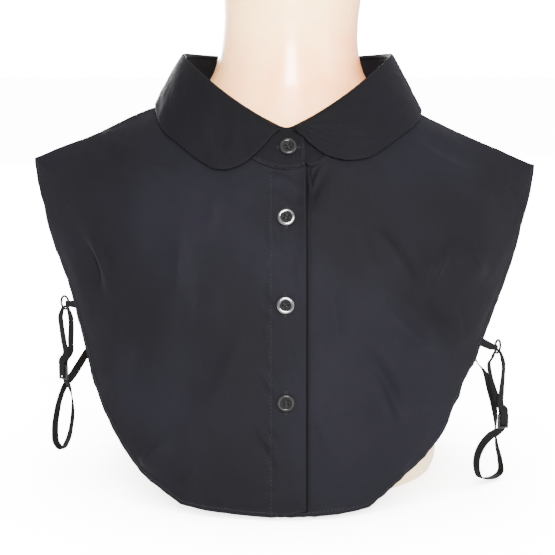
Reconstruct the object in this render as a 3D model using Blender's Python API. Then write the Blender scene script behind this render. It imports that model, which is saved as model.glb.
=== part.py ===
"""Detachable shirt collar on a limbless neck-and-shoulder bust: a false shirt front of black poplin.

Metres, +Z up, the front faces -Y. The origin is the middle of the bust's flat underside.
Right and left are the wearer's, so the right front lies at -X and buttons over the left one.
"""

import math

import bpy
import numpy as np
from mathutils import Vector
from mathutils.bvhtree import BVHTree

SEAM_GAP = 0.0003
SEAM_WAY = (0.0, -0.45, 0.90)
SEAT_GAP = 0.0008
PANEL_WALL = 0.0011
STAND_WALL = 0.0020
LEAF_WALL = 0.0016

# Right and left sides, as the sign of X
RIGHT = -1
LEFT = 1

# Bust, its level sections: height, half-width and depths of the body, then of the shoulder bar
BUST_SECTIONS = [
    # height, body_half, body_front, body_back, bar_half, bar_depth
    (0.000, 0.1060, 0.0930, 0.0920, 0.060, 0.020),
    (0.0012, 0.1085, 0.0950, 0.0940, 0.060, 0.020),
    (0.004, 0.1105, 0.0970, 0.0955, 0.060, 0.020),
    (0.030, 0.1130, 0.1000, 0.0970, 0.060, 0.020),
    (0.070, 0.1170, 0.1050, 0.0980, 0.060, 0.020),
    (0.110, 0.1230, 0.1110, 0.0980, 0.060, 0.020),
    (0.150, 0.1330, 0.1150, 0.0970, 0.080, 0.020),
    (0.180, 0.1430, 0.1120, 0.0930, 0.095, 0.025),
    (0.200, 0.1460, 0.1050, 0.0890, 0.120, 0.035),
    (0.218, 0.1400, 0.0960, 0.0840, 0.145, 0.046),
    (0.232, 0.1200, 0.0880, 0.0780, 0.151, 0.045),
    (0.243, 0.1000, 0.0820, 0.0720, 0.146, 0.039),
    (0.252, 0.0880, 0.0770, 0.0670, 0.134, 0.032),
    (0.260, 0.0810, 0.0730, 0.0630, 0.117, 0.026),
    (0.266, 0.0770, 0.0695, 0.0600, 0.104, 0.022),
    (0.272, 0.0740, 0.0665, 0.0575, 0.088, 0.019),
    (0.279, 0.0700, 0.0635, 0.0555, 0.076, 0.016),
    (0.288, 0.0635, 0.0600, 0.0540, 0.060, 0.012),
    (0.300, 0.0565, 0.0560, 0.0530, 0.040, 0.010),
    (0.318, 0.0515, 0.0535, 0.0525, 0.030, 0.010),
    (0.340, 0.0490, 0.0525, 0.0525, 0.030, 0.010),
    (0.362, 0.0485, 0.0525, 0.0525, 0.030, 0.010),
    (0.369, 0.0470, 0.0510, 0.0510, 0.030, 0.010),
    (0.372, 0.0430, 0.0470, 0.0470, 0.030, 0.010),
]
BAR_BLEND = 10
BUST_SIDES = 48

# Middle of the garment, outer face: depth at each height
CENTRE_FRONT = [
    # height, y
    (0.0025, -0.1400),
    (0.040, -0.1380),
    (0.080, -0.1350),
    (0.120, -0.1310),
    (0.160, -0.1265),
    (0.190, -0.1200),
    (0.216, -0.1100),
    (0.2407, -0.0950),
]
CENTRE_BACK = [
    # height, y
    (0.0080, 0.1060),
    (0.060, 0.1060),
    (0.120, 0.1040),
    (0.170, 0.1010),
    (0.205, 0.0950),
    (0.228, 0.0880),
    (0.255, 0.0770),
    (0.2805, 0.0605),
]

# Side edges from the hem corner up to the shoulder tip, outer face
SIDE_EDGE_FRONT_RIGHT = [
    # x, y, z
    (-0.0767, -0.1240, 0.0071),
    (-0.0887, -0.1180, 0.0140),
    (-0.1024, -0.1100, 0.0232),
    (-0.1228, -0.0950, 0.0483),
    (-0.1396, -0.0780, 0.0794),
    (-0.1489, -0.0640, 0.1088),
    (-0.1594, -0.0480, 0.1444),
    (-0.1704, -0.0360, 0.1707),
    (-0.1796, -0.0240, 0.1943),
    (-0.1863, -0.0140, 0.2156),
    (-0.1905, -0.0060, 0.2388),
]
SIDE_EDGE_FRONT_LEFT = [
    # x, y, z
    (0.0560, -0.1245, 0.0050),
    (0.0687, -0.1170, 0.0137),
    (0.0807, -0.1100, 0.0232),
    (0.1088, -0.0940, 0.0480),
    (0.1237, -0.0780, 0.0794),
    (0.1401, -0.0620, 0.1077),
    (0.1546, -0.0470, 0.1442),
    (0.1658, -0.0350, 0.1690),
    (0.1736, -0.0230, 0.1927),
    (0.1805, -0.0140, 0.2126),
    (0.1840, -0.0060, 0.2335),
]
SIDE_EDGE_BACK = [
    # x, y, z for the left side, and mirrored for the right
    (0.0700, 0.1000, 0.0120),
    (0.0900, 0.0940, 0.0240),
    (0.1120, 0.0840, 0.0480),
    (0.1310, 0.0710, 0.0800),
    (0.1440, 0.0590, 0.1100),
    (0.1560, 0.0460, 0.1440),
    (0.1670, 0.0330, 0.1710),
    (0.1760, 0.0220, 0.1940),
    (0.1810, 0.0110, 0.2140),
    (0.1850, -0.0050, 0.2340),
]

# Shoulder seams from the tip to the neck, outer face. They lie a little forward of the ridge
SHOULDER_SEAM_RIGHT = [
    # x, y, z
    (-0.1905, -0.0060, 0.2388),
    (-0.1680, -0.0100, 0.2480),
    (-0.1410, -0.0130, 0.2590),
    (-0.1100, -0.0120, 0.2735),
    (-0.0815, -0.0060, 0.2825),
]
SHOULDER_SEAM_LEFT = [
    # x, y, z
    (0.1840, -0.0060, 0.2335),
    (0.1640, -0.0100, 0.2425),
    (0.1400, -0.0130, 0.2532),
    (0.1100, -0.0120, 0.2655),
    (0.0815, -0.0060, 0.2825),
]

# Neckline, where the stand's foot is sewn on, and the fold line of the leaf, by turn from the front
NECKLINE = [
    # degrees, x, y, z
    (0, 0.0000, -0.0950, 0.2407),
    (20, 0.0290, -0.0870, 0.2500),
    (30, 0.0420, -0.0790, 0.2590),
    (43, 0.0560, -0.0640, 0.2690),
    (58, 0.0680, -0.0440, 0.2770),
    (75, 0.0750, -0.0220, 0.2825),
    (90, 0.0775, -0.0030, 0.2850),
    (110, 0.0750, 0.0180, 0.2855),
    (130, 0.0630, 0.0370, 0.2840),
    (155, 0.0350, 0.0540, 0.2815),
    (180, 0.0000, 0.0605, 0.2805),
]
FOLD_LINE = [
    # degrees, x, y, z
    (0, 0.0000, -0.0800, 0.2676),
    (9, 0.0125, -0.0780, 0.2725),
    (20, 0.0275, -0.0740, 0.2810),
    (30, 0.0400, -0.0680, 0.2890),
    (43, 0.0540, -0.0570, 0.2990),
    (58, 0.0658, -0.0400, 0.3077),
    (75, 0.0742, -0.0200, 0.3135),
    (90, 0.0772, -0.0020, 0.3155),
    (110, 0.0765, 0.0200, 0.3155),
    (130, 0.0690, 0.0430, 0.3140),
    (150, 0.0500, 0.0600, 0.3120),
    (180, 0.0000, 0.0690, 0.3105),
]
COLLAR_MIDDLE = -0.0020
NECK_END_TURN = 86.0
STAND_OVERLAP = 8.5

# Leaf's outer edge, from the right front end round the back to the left one
LEAF_EDGE = [
    # degrees, x, y, z
    (-3.5, -0.0068, -0.0832, 0.2668),
    (-5.5, -0.0105, -0.0846, 0.2638),
    (-7.5, -0.0140, -0.0864, 0.2600),
    (-11.5, -0.0204, -0.0895, 0.2528),
    (-16.0, -0.0282, -0.0906, 0.2452),
    (-20.5, -0.0356, -0.0910, 0.2410),
    (-26.0, -0.0447, -0.0904, 0.2389),
    (-31.5, -0.0538, -0.0875, 0.2398),
    (-38.5, -0.0634, -0.0810, 0.2444),
    (-48.0, -0.0745, -0.0700, 0.2519),
    (-56.0, -0.0822, -0.0606, 0.2574),
    (-63.0, -0.0880, -0.0518, 0.2613),
    (-72.0, -0.0912, -0.0365, 0.2682),
    (-84.0, -0.0942, -0.0160, 0.2743),
    (-95.0, -0.0952, 0.0050, 0.2752),
    (-111.0, -0.0937, 0.0320, 0.2700),
    (-131.0, -0.0840, 0.0560, 0.2665),
    (-155.0, -0.0480, 0.0745, 0.2625),
    (-180.0, 0.0000, 0.0790, 0.2610),
    (-205.0, 0.0480, 0.0745, 0.2625),
    (-229.0, 0.0840, 0.0560, 0.2665),
    (-249.0, 0.0947, 0.0320, 0.2695),
    (-263.0, 0.0962, 0.0080, 0.2735),
    (-270.0, 0.0960, -0.0080, 0.2728),
    (-279.0, 0.0940, -0.0265, 0.2692),
    (-288.0, 0.0898, -0.0390, 0.2655),
    (-297.0, 0.0827, -0.0525, 0.2610),
    (-304.0, 0.0766, -0.0602, 0.2580),
    (-316.0, 0.0650, -0.0733, 0.2507),
    (-323.5, 0.0570, -0.0802, 0.2466),
    (-329.5, 0.0490, -0.0842, 0.2449),
    (-335.0, 0.0398, -0.0866, 0.2446),
    (-341.0, 0.0291, -0.0875, 0.2473),
    (-346.0, 0.0214, -0.0870, 0.2516),
    (-351.5, 0.0123, -0.0848, 0.2590),
    (-354.3, 0.0078, -0.0845, 0.2632),
    (-356.5, 0.0038, -0.0832, 0.2668),
]

# Front closing
PLACKET_EDGE = 0.0110
UNDERLAP_EDGE = -0.0120
UNDERLAP_SINK = PANEL_WALL + 0.0005
NECK_SINK = 0.0010
NECK_SINK_FROM = (0.205, 0.228)
NECK_DROP = 0.0026
NECK_DROP_FROM = (0.222, 0.238)
NECK_SLOPE = np.array([0, 0.20, 0.98])
UNDERLAP_EASE = (0.014, 0.034)
OVERLAP_HEM_RISE = 0.0050

# How far each level section turns back at its side edge, in degrees, from hem to shoulder tip
SECTION_TURN_FRONT = [(0.0, 52), (0.35, 60), (0.7, 62), (1.0, 55)]
SECTION_TURN_BACK = [(0.0, 62), (0.4, 68), (1.0, 62)]
HEM_CURVE = 1.8

# Folds of the fronts, as the photograph shows them and alike where it doesn't
FRONT_FOLDS = [
    # start_x, start_z, end_x, end_z, width, height
    (0.058, 0.200, 0.088, 0.150, 0.0100, 0.0036),
    (0.068, 0.142, 0.103, 0.112, 0.0094, 0.0038),
    (0.050, 0.118, 0.083, 0.062, 0.0112, -0.0036),
    (0.099, 0.160, 0.112, 0.185, 0.0088, 0.0034),
    (0.112, 0.185, 0.142, 0.160, 0.0094, 0.0034),
    (0.092, 0.150, 0.118, 0.112, 0.0100, -0.0031),
    (0.018, 0.232, 0.012, 0.205, 0.0075, -0.0048),
    (-0.075, 0.190, -0.080, 0.150, 0.0112, 0.0034),
    (-0.152, 0.186, -0.138, 0.150, 0.0100, -0.0043),
    (-0.135, 0.262, -0.085, 0.235, 0.0088, 0.0026),
    (-0.105, 0.030, -0.084, 0.050, 0.0100, 0.0034),
    (-0.030, 0.130, -0.055, 0.080, 0.0125, 0.0026),
]
BACK_FOLDS = [
    # start_x, start_z, end_x, end_z, width, height
    (-0.070, 0.200, -0.095, 0.140, 0.0112, 0.0036),
    (-0.040, 0.120, -0.062, 0.050, 0.0125, 0.0029),
    (0.030, 0.150, 0.048, 0.070, 0.0125, 0.0034),
    (0.085, 0.205, 0.112, 0.160, 0.0106, 0.0036),
    (0.100, 0.110, 0.070, 0.060, 0.0112, -0.0031),
    (-0.120, 0.170, -0.105, 0.110, 0.0112, -0.0034),
]
FOLD_EDGE_FADE = 0.012

# Grid of each panel
SIDE_ROWS = 15
YOKE_ROWS = 14
NECK_CORNER_ROW = 2
PANEL_COLUMNS = 18
BACK_COLUMN_CROWDING = 1.3
NECK_CROWDING = 1.25

# Collar parts
STAND_COLUMNS = 60
STAND_FOOT_LIFT = 0.0014
STAND_UNDER_SHIFT = 1.2 * STAND_WALL + 0.0004
LEAF_STATIONS = 60
LEAF_END_STATIONS = 10
LEAF_END_ROWS = 7
LEAF_FALL_STEPS = 5
LEAF_ROLL_STEPS = 2
LEAF_BOW = 0.02
ROLL_ROOM = 0.0006
ROLL_RISE = 0.0012
LAY_UP = (0.0, 0.0, 0.8)
LAY_GAP = 0.0018
LAY_REACH = 0.060
COLLAR_CENTRE_BACK = 0.010

# Four-hole buttons
BUTTON_RADIUS = 0.00625
BUTTON_SIDES = 20
BUTTON_PROFILE = [
    # radius, height above the cloth
    (0.0052, 0.0000),
    (0.0062, 0.0007),
    (0.00625, 0.0014),
    (0.0059, 0.0022),
    (0.0052, 0.0025),
    (0.0045, 0.0022),
    (0.0040, 0.0015),
]
BUTTONS = [
    # name, x, height, what it lies on
    ("button_1", -0.0008, 0.2545, "stand"),
    ("button_2", -0.0022, 0.2082, "front"),
    ("button_3", -0.0028, 0.1500, "front"),
    ("button_4", -0.0025, 0.0830, "front"),
]

# Straps at the sides. A tab holds a ring, the strap hangs from the ring through a slider to the back
STRAP_WIDTH = 0.0060
STRAP_WALL = 0.0010
STRAP_STEP = 0.0055
TAB_WALL = 0.0010
PINCH = 0.62
SLOT_PINCH = 0.85
RING_RADIUS = 0.0048
RING_WIRE = 0.0009
RING_SIDES = 20
WIRE_SIDES = 6
SLIDER_WIDTH = 0.0086
SLIDER_HEIGHT = 0.0110
SLIDER_WALL = 0.0016
SLIDER_BAR = 0.0015
UNDER_PANEL = 0.0060
BEHIND_GAP = 0.0006
WIRE_CLEAR = RING_WIRE + STRAP_WALL / 2 + SEAM_GAP
SLIDER_CLEAR = SLIDER_WALL / 2 + STRAP_WALL / 2 + SEAM_GAP
STRAP_SIDES = {
    # side: height on the front, middle and turn of the ring, middle and turn of the slider, height on the back
    RIGHT: (0.1355, (-0.1655, -0.0400, 0.1350), 132, (-0.1681, -0.0380, 0.0817), -38, 0.1020),
    LEFT: (0.1095, (0.1541, -0.0490, 0.1037), 58, (0.1584, -0.0560, 0.0488), 20, 0.0880),
}

# Run of each strap: from the slider's front up to the ring, and from the ring down behind the slider
STRAP_UP = {
    RIGHT: [
        # x, y, z, turn of its width from X, lean of its width from level, both in degrees, share of its width
        (-0.1662, -0.0405, 0.0952, -40, 0, 1.0),
        (-0.1672, -0.0425, 0.1063, -44, 0, 1.0),
        (-0.1686, -0.0440, 0.1188, -48, 0, 1.0),
    ],
    LEFT: [
        (0.1565, -0.0585, 0.0605, 30, 0, 1.0),
        (0.1566, -0.0570, 0.0715, 44, 0, 1.0),
        (0.1578, -0.0545, 0.0830, 56, 0, 1.0),
        (0.1581, -0.0525, 0.0920, 58, 0, 1.0),
    ],
}
STRAP_DOWN = {
    RIGHT: [
        (-0.1609, -0.0380, 0.1206, -48, 0, 1.0),
        (-0.1622, -0.0360, 0.1065, -44, 0, 1.0),
        (-0.1634, -0.0350, 0.0957, -40, 0, 1.0),
    ],
    LEFT: [
        (0.1489, -0.0465, 0.0920, 58, 0, 1.0),
        (0.1492, -0.0470, 0.0830, 56, 0, 1.0),
        (0.1518, -0.0490, 0.0720, 44, 0, 1.0),
        (0.1552, -0.0515, 0.0620, 28, 0, 1.0),
    ],
}

# Slack of each strap: down from the slider, round its hanging loop, across behind itself and on to the back
STRAP_SLACK = {
    RIGHT: [
        (-0.1651, -0.0345, 0.0709, -48, 0, 1.0),
        (-0.1632, -0.0330, 0.0628, -72, 0, 1.0),
        (-0.1627, -0.0320, 0.0501, -95, 0, 1.0),
        (-0.1644, -0.0305, 0.0373, -115, 0, 1.0),
        (-0.1681, -0.0270, 0.0253, -130, 0, 1.0),
        (-0.1732, -0.0225, 0.0181, -135, 0, 1.0),
        (-0.1774, -0.0190, 0.0215, -135, 0, 1.0),
        (-0.1785, -0.0175, 0.0313, -135, 0, 1.0),
        (-0.1769, -0.0170, 0.0446, -132, 0, 1.0),
        (-0.1739, -0.0165, 0.0570, -128, 0, 1.0),
        (-0.1696, -0.0155, 0.0670, -122, 6, 1.0),
        (-0.1646, -0.0115, 0.0735, -112, 18, 1.0),
        (-0.1600, -0.0010, 0.0804, -102, 36, 1.0),
        (-0.1554, 0.0140, 0.0873, -95, 58, 1.0),
    ],
    LEFT: [
        (0.1555, -0.0540, 0.0406, 12, 0, 1.0),
        (0.1506, -0.0555, 0.0384, -8, 0, 1.0),
        (0.1443, -0.0570, 0.0323, -28, 0, 1.0),
        (0.1400, -0.0575, 0.0232, -40, 0, 1.0),
        (0.1394, -0.0570, 0.0139, -45, 0, 1.0),
        (0.1421, -0.0550, 0.0059, -45, 0, 1.0),
        (0.1485, -0.0500, 0.0030, -45, 0, 1.0),
        (0.1557, -0.0440, 0.0030, -46, 0, 1.0),
        (0.1599, -0.0390, 0.0053, -52, 0, 1.0),
        (0.1595, -0.0370, 0.0141, -66, 0, 1.0),
        (0.1572, -0.0365, 0.0241, -86, 0, 1.0),
        (0.1560, -0.0360, 0.0341, -108, 0, 1.0),
        (0.1547, -0.0350, 0.0447, -130, 0, 1.0),
        (0.1533, -0.0320, 0.0556, -148, 4, 1.0),
        (0.1521, -0.0260, 0.0657, -152, 12, 1.0),
        (0.1507, -0.0140, 0.0741, -140, 28, 1.0),
        (0.1473, 0.0080, 0.0775, -115, 52, 1.0),
    ],
}

BLACK_CLOTH = ("black poplin", (0.030, 0.031, 0.038), 0.82, 0.0)
BLACK_ELASTIC = ("black elastic", (0.022, 0.022, 0.025), 0.75, 0.0)
BLACK_BUTTON = ("black button", (0.018, 0.018, 0.020), 0.25, 0.0)
BLACK_HARDWARE = ("black coated hardware", (0.020, 0.020, 0.022), 0.30, 0.0)
BUST_PLASTIC = ("cream plastic", (0.86, 0.68, 0.56), 0.32, 0.0)


# Curves and sections

def through(knots, values, at):
    """A smooth curve through the rows of a table, read at other places along it."""
    knots = np.asarray(knots, float)
    values = np.asarray(values, float).reshape(len(knots), -1)
    at = np.atleast_1d(np.asarray(at, float))
    slopes = np.gradient(values, knots, axis=0)
    row = np.clip(np.searchsorted(knots, at, side="right") - 1, 0, len(knots) - 2)
    span = (knots[row + 1] - knots[row])[:, None]
    t = (at - knots[row])[:, None] / span
    first = (1 + 2 * t) * (1 - t) ** 2 * values[row] + t * (1 - t) ** 2 * span * slopes[row]
    second = t * t * (3 - 2 * t) * values[row + 1] - t * t * (1 - t) * span * slopes[row + 1]
    return first + second


def along(points, parts):
    """Places at the given parts of the length of a smooth curve through points."""
    points = np.asarray(points, float)
    runs = np.linalg.norm(np.diff(points, axis=0), axis=1)
    knots = np.concatenate([[0], np.cumsum(runs)])
    return through(knots, points, np.asarray(parts) * knots[-1])


def smooth_step(value, low, high):
    t = np.clip((np.asarray(value, float) - low) / (high - low), 0, 1)
    return t * t * (3 - 2 * t)


def unit(vectors):
    return vectors / np.maximum(np.linalg.norm(vectors, axis=-1, keepdims=True), 1e-12)


def collar_line(table, degrees):
    """Points of the neckline or the fold line at signed turns from the front."""
    degrees = np.atleast_1d(np.asarray(degrees, float))
    turn = (degrees + 180) % 360 - 180
    table = np.asarray(table)
    mirrored = table[1:] * (-1, -1, 1, 1)
    whole = np.concatenate([mirrored[::-1], table])
    points = through(whole[:, 0], whole[:, 1:], turn)
    points[:, 0] += COLLAR_MIDDLE * (0.5 + 0.5 * np.cos(np.radians(turn)))
    return points


# Meshes

def material(look):
    name, colour, roughness, metallic = look
    made = bpy.data.materials.get(name)
    if made is None:
        made = bpy.data.materials.new(name)
        made.use_nodes = True
        shader = made.node_tree.nodes["Principled BSDF"]
        shader.inputs["Base Color"].default_value = (*colour, 1)
        shader.inputs["Roughness"].default_value = roughness
        shader.inputs["Metallic"].default_value = metallic
        made.diffuse_color = (*colour, 1)
    return made


def piece(name, points, faces, look):
    """One named object from points and faces, shaded smooth but for its edges."""
    mesh = bpy.data.meshes.new(name)
    mesh.from_pydata([tuple(map(float, point)) for point in points], [], faces)
    mesh.update()
    mesh.shade_smooth()
    mesh.set_sharp_from_angle(angle=math.radians(50))
    mesh.materials.append(material(look))
    made = bpy.data.objects.new(name, mesh)
    bpy.context.scene.collection.objects.link(made)
    return made


def sheet_normals(grid):
    """Directions square to a grid of points, rows by columns, from the faces that meet at each point."""
    faces = np.cross(grid[1:, :-1] - grid[:-1, 1:], grid[1:, 1:] - grid[:-1, :-1])
    total = np.zeros_like(grid)
    for rows in (slice(None, -1), slice(1, None)):
        for columns in (slice(None, -1), slice(1, None)):
            total[rows, columns] += faces
    return unit(total)


def outward_normals(grid):
    """Directions square to a grid of points, away from the bust's middle line."""
    return sheet_normals(grid) * (1 if faces_out(grid) else -1)


def faces_out(grid):
    """Whether the grid's faces, in its own order, point away from the bust's middle line."""
    away = grid - np.array([0, 0, 1]) * grid[..., 2:3]
    return (sheet_normals(grid) * away).sum() > 0


def sheet_faces(rows, columns, start=0, turned=False):
    faces = []
    for i in range(rows - 1):
        for j in range(columns - 1):
            a = start + i * columns + j
            face = (a, a + columns, a + columns + 1, a + 1)
            faces.append(face[::-1] if turned else face)
    return faces


def two_sided(name, outer, inner, look):
    """A closed wall between two grids of points."""
    if not faces_out(outer):
        outer, inner = outer[:, ::-1], inner[:, ::-1]
    rows, columns = outer.shape[:2]
    count = rows * columns
    points = np.concatenate([outer.reshape(-1, 3), inner.reshape(-1, 3)])
    faces = sheet_faces(rows, columns) + sheet_faces(rows, columns, count, turned=True)
    top = [(0, j) for j in range(columns)]
    right = [(i, columns - 1) for i in range(1, rows)]
    bottom = [(rows - 1, j) for j in range(columns - 2, -1, -1)]
    left = [(i, 0) for i in range(rows - 2, 0, -1)]
    rim = [i * columns + j for i, j in top + right + bottom + left]
    for a, b in zip(rim, rim[1:] + rim[:1]):
        faces.append((a, b, b + count, a + count))
    return piece(name, points, faces, look)


def rings_solid(name, rings, look):
    """A closed solid through rings of points, listed from its foot up, each anticlockwise from above."""
    sides = len(rings[0])
    points = np.concatenate(rings)
    faces = [tuple(range(sides - 1, -1, -1))]
    for level in range(len(rings) - 1):
        for j in range(sides):
            a, b = level * sides + j, level * sides + (j + 1) % sides
            faces.append((a, b, b + sides, a + sides))
    last = (len(rings) - 1) * sides
    faces.append(tuple(range(last, last + sides)))
    return piece(name, points, faces, look)


# Bust

def bust_ring(height, sides):
    """One level section: the body and the shoulder bar, blended where they meet."""
    table = np.asarray(BUST_SECTIONS)
    half, front, back, bar_half, bar_depth = through(table[:, 0], table[:, 1:], height)[0]
    turn = np.linspace(0, 2 * math.pi, sides, endpoint=False)
    cos, sin = np.cos(turn), np.sin(turn)
    depth = np.where(sin < 0, front, back)
    body = 1 / np.sqrt((cos / half) ** 2 + (sin / depth) ** 2)
    bar = 1 / np.sqrt((cos / bar_half) ** 2 + (sin / bar_depth) ** 2)
    reach = (body ** BAR_BLEND + bar ** BAR_BLEND) ** (1 / BAR_BLEND)
    return np.stack([reach * cos, reach * sin, np.full(sides, height)], axis=1)


def bust_tree():
    """A fine surface of the bust, that the cloth is kept off."""
    sides = 3 * BUST_SIDES
    heights = np.linspace(BUST_SECTIONS[0][0], BUST_SECTIONS[-1][0], 150)
    points = np.concatenate([bust_ring(height, sides) for height in heights])
    faces = []
    for level in range(len(heights) - 1):
        for j in range(sides):
            a, b = level * sides + j, level * sides + (j + 1) % sides
            faces.append((a, b, b + sides, a + sides))
    return BVHTree.FromPolygons(points.tolist(), faces)


def make_bust():
    rings = [bust_ring(row[0], BUST_SIDES) for row in BUST_SECTIONS]
    return rings_solid("bust", rings, BUST_PLASTIC)


def keep_off(points, tree, gap, pinned=None):
    """Moves points that are nearer than gap to a surface, or behind it, out to the gap."""
    flat = points.reshape(-1, 3).copy()
    for k, point in enumerate(flat):
        if pinned is not None and pinned.reshape(-1)[k]:
            continue
        place, normal, _, _ = tree.find_nearest(Vector(point))
        if place is None:
            continue
        if (Vector(point) - place).dot(normal) < gap:
            flat[k] = place + normal * gap
    return flat.reshape(points.shape)


# Panels

def level_section(centre, edge, turn, xs):
    """A section of a worn panel: flat across the middle, turned back by the given angle at its side edge."""
    turn = math.radians(turn)
    part = np.arcsin(np.clip(np.abs(xs) / abs(edge[0]), 0, 1) * math.sin(turn)) / turn
    back = (np.cos(turn * part) - math.cos(turn)) / (1 - math.cos(turn))
    y = edge[1] + (centre[1] - edge[1]) * back
    z = centre[2] + (edge[2] - centre[2]) * part ** HEM_CURVE
    return np.stack([xs, y, z], axis=1)


def patch(bottom, top, inner, outer, share):
    """A sheet between four edge curves that meet at their ends, its columns at the given shares."""
    s = share[None, :, None]
    w = np.linspace(0, 1, inner.shape[0])[:, None, None]
    level = (1 - w) * bottom[None] + w * top[None]
    upright = (1 - s) * inner[:, None] + s * outer[:, None]
    corners = (1 - w) * ((1 - s) * bottom[0] + s * bottom[-1]) + w * ((1 - s) * top[0] + s * top[-1])
    return level + upright - corners


def eased(grid, rounds, pinned):
    """The grid with its unpinned points drawn towards the mean of their neighbours."""
    grid = grid.copy()
    free = ~pinned[1:-1, 1:-1]
    for _ in range(rounds):
        mean = (grid[:-2, 1:-1] + grid[2:, 1:-1] + grid[1:-1, :-2] + grid[1:-1, 2:]) / 4
        grid[1:-1, 1:-1][free] = mean[free]
    return grid


def folded(grid, folds):
    """The grid with soft ridges and troughs along the rows of a fold table."""
    normals = outward_normals(grid)
    flat = grid[..., [0, 2]]
    shift = np.zeros(grid.shape[:2])
    for start_x, start_z, end_x, end_z, width, height in folds:
        start, run = np.array([start_x, start_z]), np.array([end_x - start_x, end_z - start_z])
        part = np.clip(((flat - start) @ run) / (run @ run), 0, 1)
        away = np.linalg.norm(flat - start - part[..., None] * run, axis=-1)
        shift += height * np.exp(-(away / width) ** 2) * (0.35 + 0.65 * np.sin(math.pi * part))
    rows, columns = grid.shape[:2]
    fade = np.ones(grid.shape[:2])
    for edge in (grid[:1], grid[-1:], grid[:, :1], grid[:, -1:]):
        points = edge.reshape(-1, 3)
        gaps = np.linalg.norm(grid[:, :, None] - points[None, None], axis=-1).min(axis=-1)
        fade = fade * smooth_step(gaps, 0, FOLD_EDGE_FADE)
    return grid + normals * (shift * fade)[..., None]


def shoulder_seam(side, tree):
    """The seam's points from tip to neck, kept off the bust, shared by the front and the back."""
    table = SHOULDER_SEAM_RIGHT if side == RIGHT else SHOULDER_SEAM_LEFT
    points = along(table, np.linspace(0, 1, YOKE_ROWS))
    return keep_off(points, tree, PANEL_WALL + SEAT_GAP)


def seam_shift(points, towards):
    """Half of the seam's gap, towards the front or the back."""
    return points + np.array([0, towards * SEAM_GAP / 2, 0])


def front_centre_edge(side, edge_x):
    """The yoke's inner edge: up the closing edge, then round the neckline to the shoulder seam."""
    upright = along([(edge_x, *row[::-1]) for row in CENTRE_FRONT[-2:]], np.linspace(0, 1, NECK_CORNER_ROW + 1))
    spread = np.linspace(0, 1, YOKE_ROWS - NECK_CORNER_ROW) ** NECK_CROWDING
    turns = side * (-STAND_OVERLAP + (NECK_END_TURN + STAND_OVERLAP) * spread)
    neck = collar_line(NECKLINE, turns)
    neck[0] = (edge_x, *neck[0, 1:])
    upright[-1] = neck[0]
    return np.concatenate([upright[:-1], neck])


def front_grid(side, tree):
    """The outer face of one front, from hem to shoulder seam, closing edge to side edge."""
    edge_table = SIDE_EDGE_FRONT_RIGHT if side == RIGHT else SIDE_EDGE_FRONT_LEFT
    edge_x = PLACKET_EDGE if side == RIGHT else UNDERLAP_EDGE
    parts = np.linspace(0, 1, SIDE_ROWS) ** 1.08
    edge = along(edge_table, parts)
    lower = np.asarray(CENTRE_FRONT[:-1])
    heights = lower[0, 0] + (lower[-1, 0] - lower[0, 0]) * parts
    depths = through(lower[:, 0], lower[:, 1], heights)[:, 0]
    turns = through(*zip(*SECTION_TURN_FRONT), parts)[:, 0]
    share = np.linspace(0, 1, PANEL_COLUMNS)
    rows = []
    for k in range(SIDE_ROWS):
        xs = edge_x + (edge[k, 0] - edge_x) * share
        rows.append(level_section((0, depths[k], heights[k]), edge[k], turns[k], xs))
    rows = np.array(rows)
    seam = seam_shift(shoulder_seam(side, tree), -1)
    inner = front_centre_edge(side, edge_x)
    rows[-1, -1] = seam[0]
    inner[0] = rows[-1, 0]
    top = seam[-1] + (inner[-1] - seam[-1]) * (1 - share)[:, None]
    yoke = patch(rows[-1], top, inner, seam, share)
    grid = np.concatenate([rows, yoke[1:]])
    pinned = np.zeros(grid.shape[:2], bool)
    pinned[:, [0, -1]] = True
    pinned[[0, -1]] = True
    pinned[:SIDE_ROWS - 3] = True
    grid = eased(grid, 6, pinned)
    pinned[:SIDE_ROWS - 3] = False
    pinned[:, [0, -1]] = True
    grid = keep_off(grid, tree, PANEL_WALL + SEAT_GAP, pinned)
    return folded(grid, FRONT_FOLDS)


def wall_inner(outer, seam_columns):
    """The inner face of a panel. Along the shoulder seams both panels use one direction."""
    normals = outward_normals(outer)
    normals[-YOKE_ROWS:, seam_columns] = unit(np.array(SEAM_WAY))
    return outer - normals * PANEL_WALL


def sunk_under(outer, over):
    """The left front's outer face, drawn in behind the right front along the closing."""
    over_tree = sheet_tree(over)
    ease = 1 - smooth_step(outer[..., 0], *UNDERLAP_EASE)
    normals = outward_normals(outer)
    for i, j in np.argwhere(ease > 0):
        x, _, z = outer[i, j]
        place, _, _, _ = over_tree.ray_cast(Vector((min(x, PLACKET_EDGE - 0.0002), -0.4, z)), Vector((0, 1, 0)))
        if place is not None and x < UNDERLAP_EASE[0]:
            outer[i, j, 1] = place.y
        sink = UNDERLAP_SINK + NECK_SINK * float(smooth_step(z, *NECK_SINK_FROM))
        outer[i, j] -= normals[i, j] * sink * ease[i, j]
        outer[i, j] -= unit(NECK_SLOPE) * NECK_DROP * float(smooth_step(z, *NECK_DROP_FROM)) * ease[i, j]
    return outer


def make_front(side, tree, over=None):
    outer = front_grid(side, tree)
    if side == RIGHT:
        rise = OVERLAP_HEM_RISE * smooth_step(outer[0, :, 0], -0.010, PLACKET_EDGE)
        outer[0, :, 2] += rise
    else:
        outer = sunk_under(outer, over)
    inner = wall_inner(outer, [-1])
    name = "front_right" if side == RIGHT else "front_left"
    two_sided(name, outer, inner, BLACK_CLOTH)
    return outer


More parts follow.
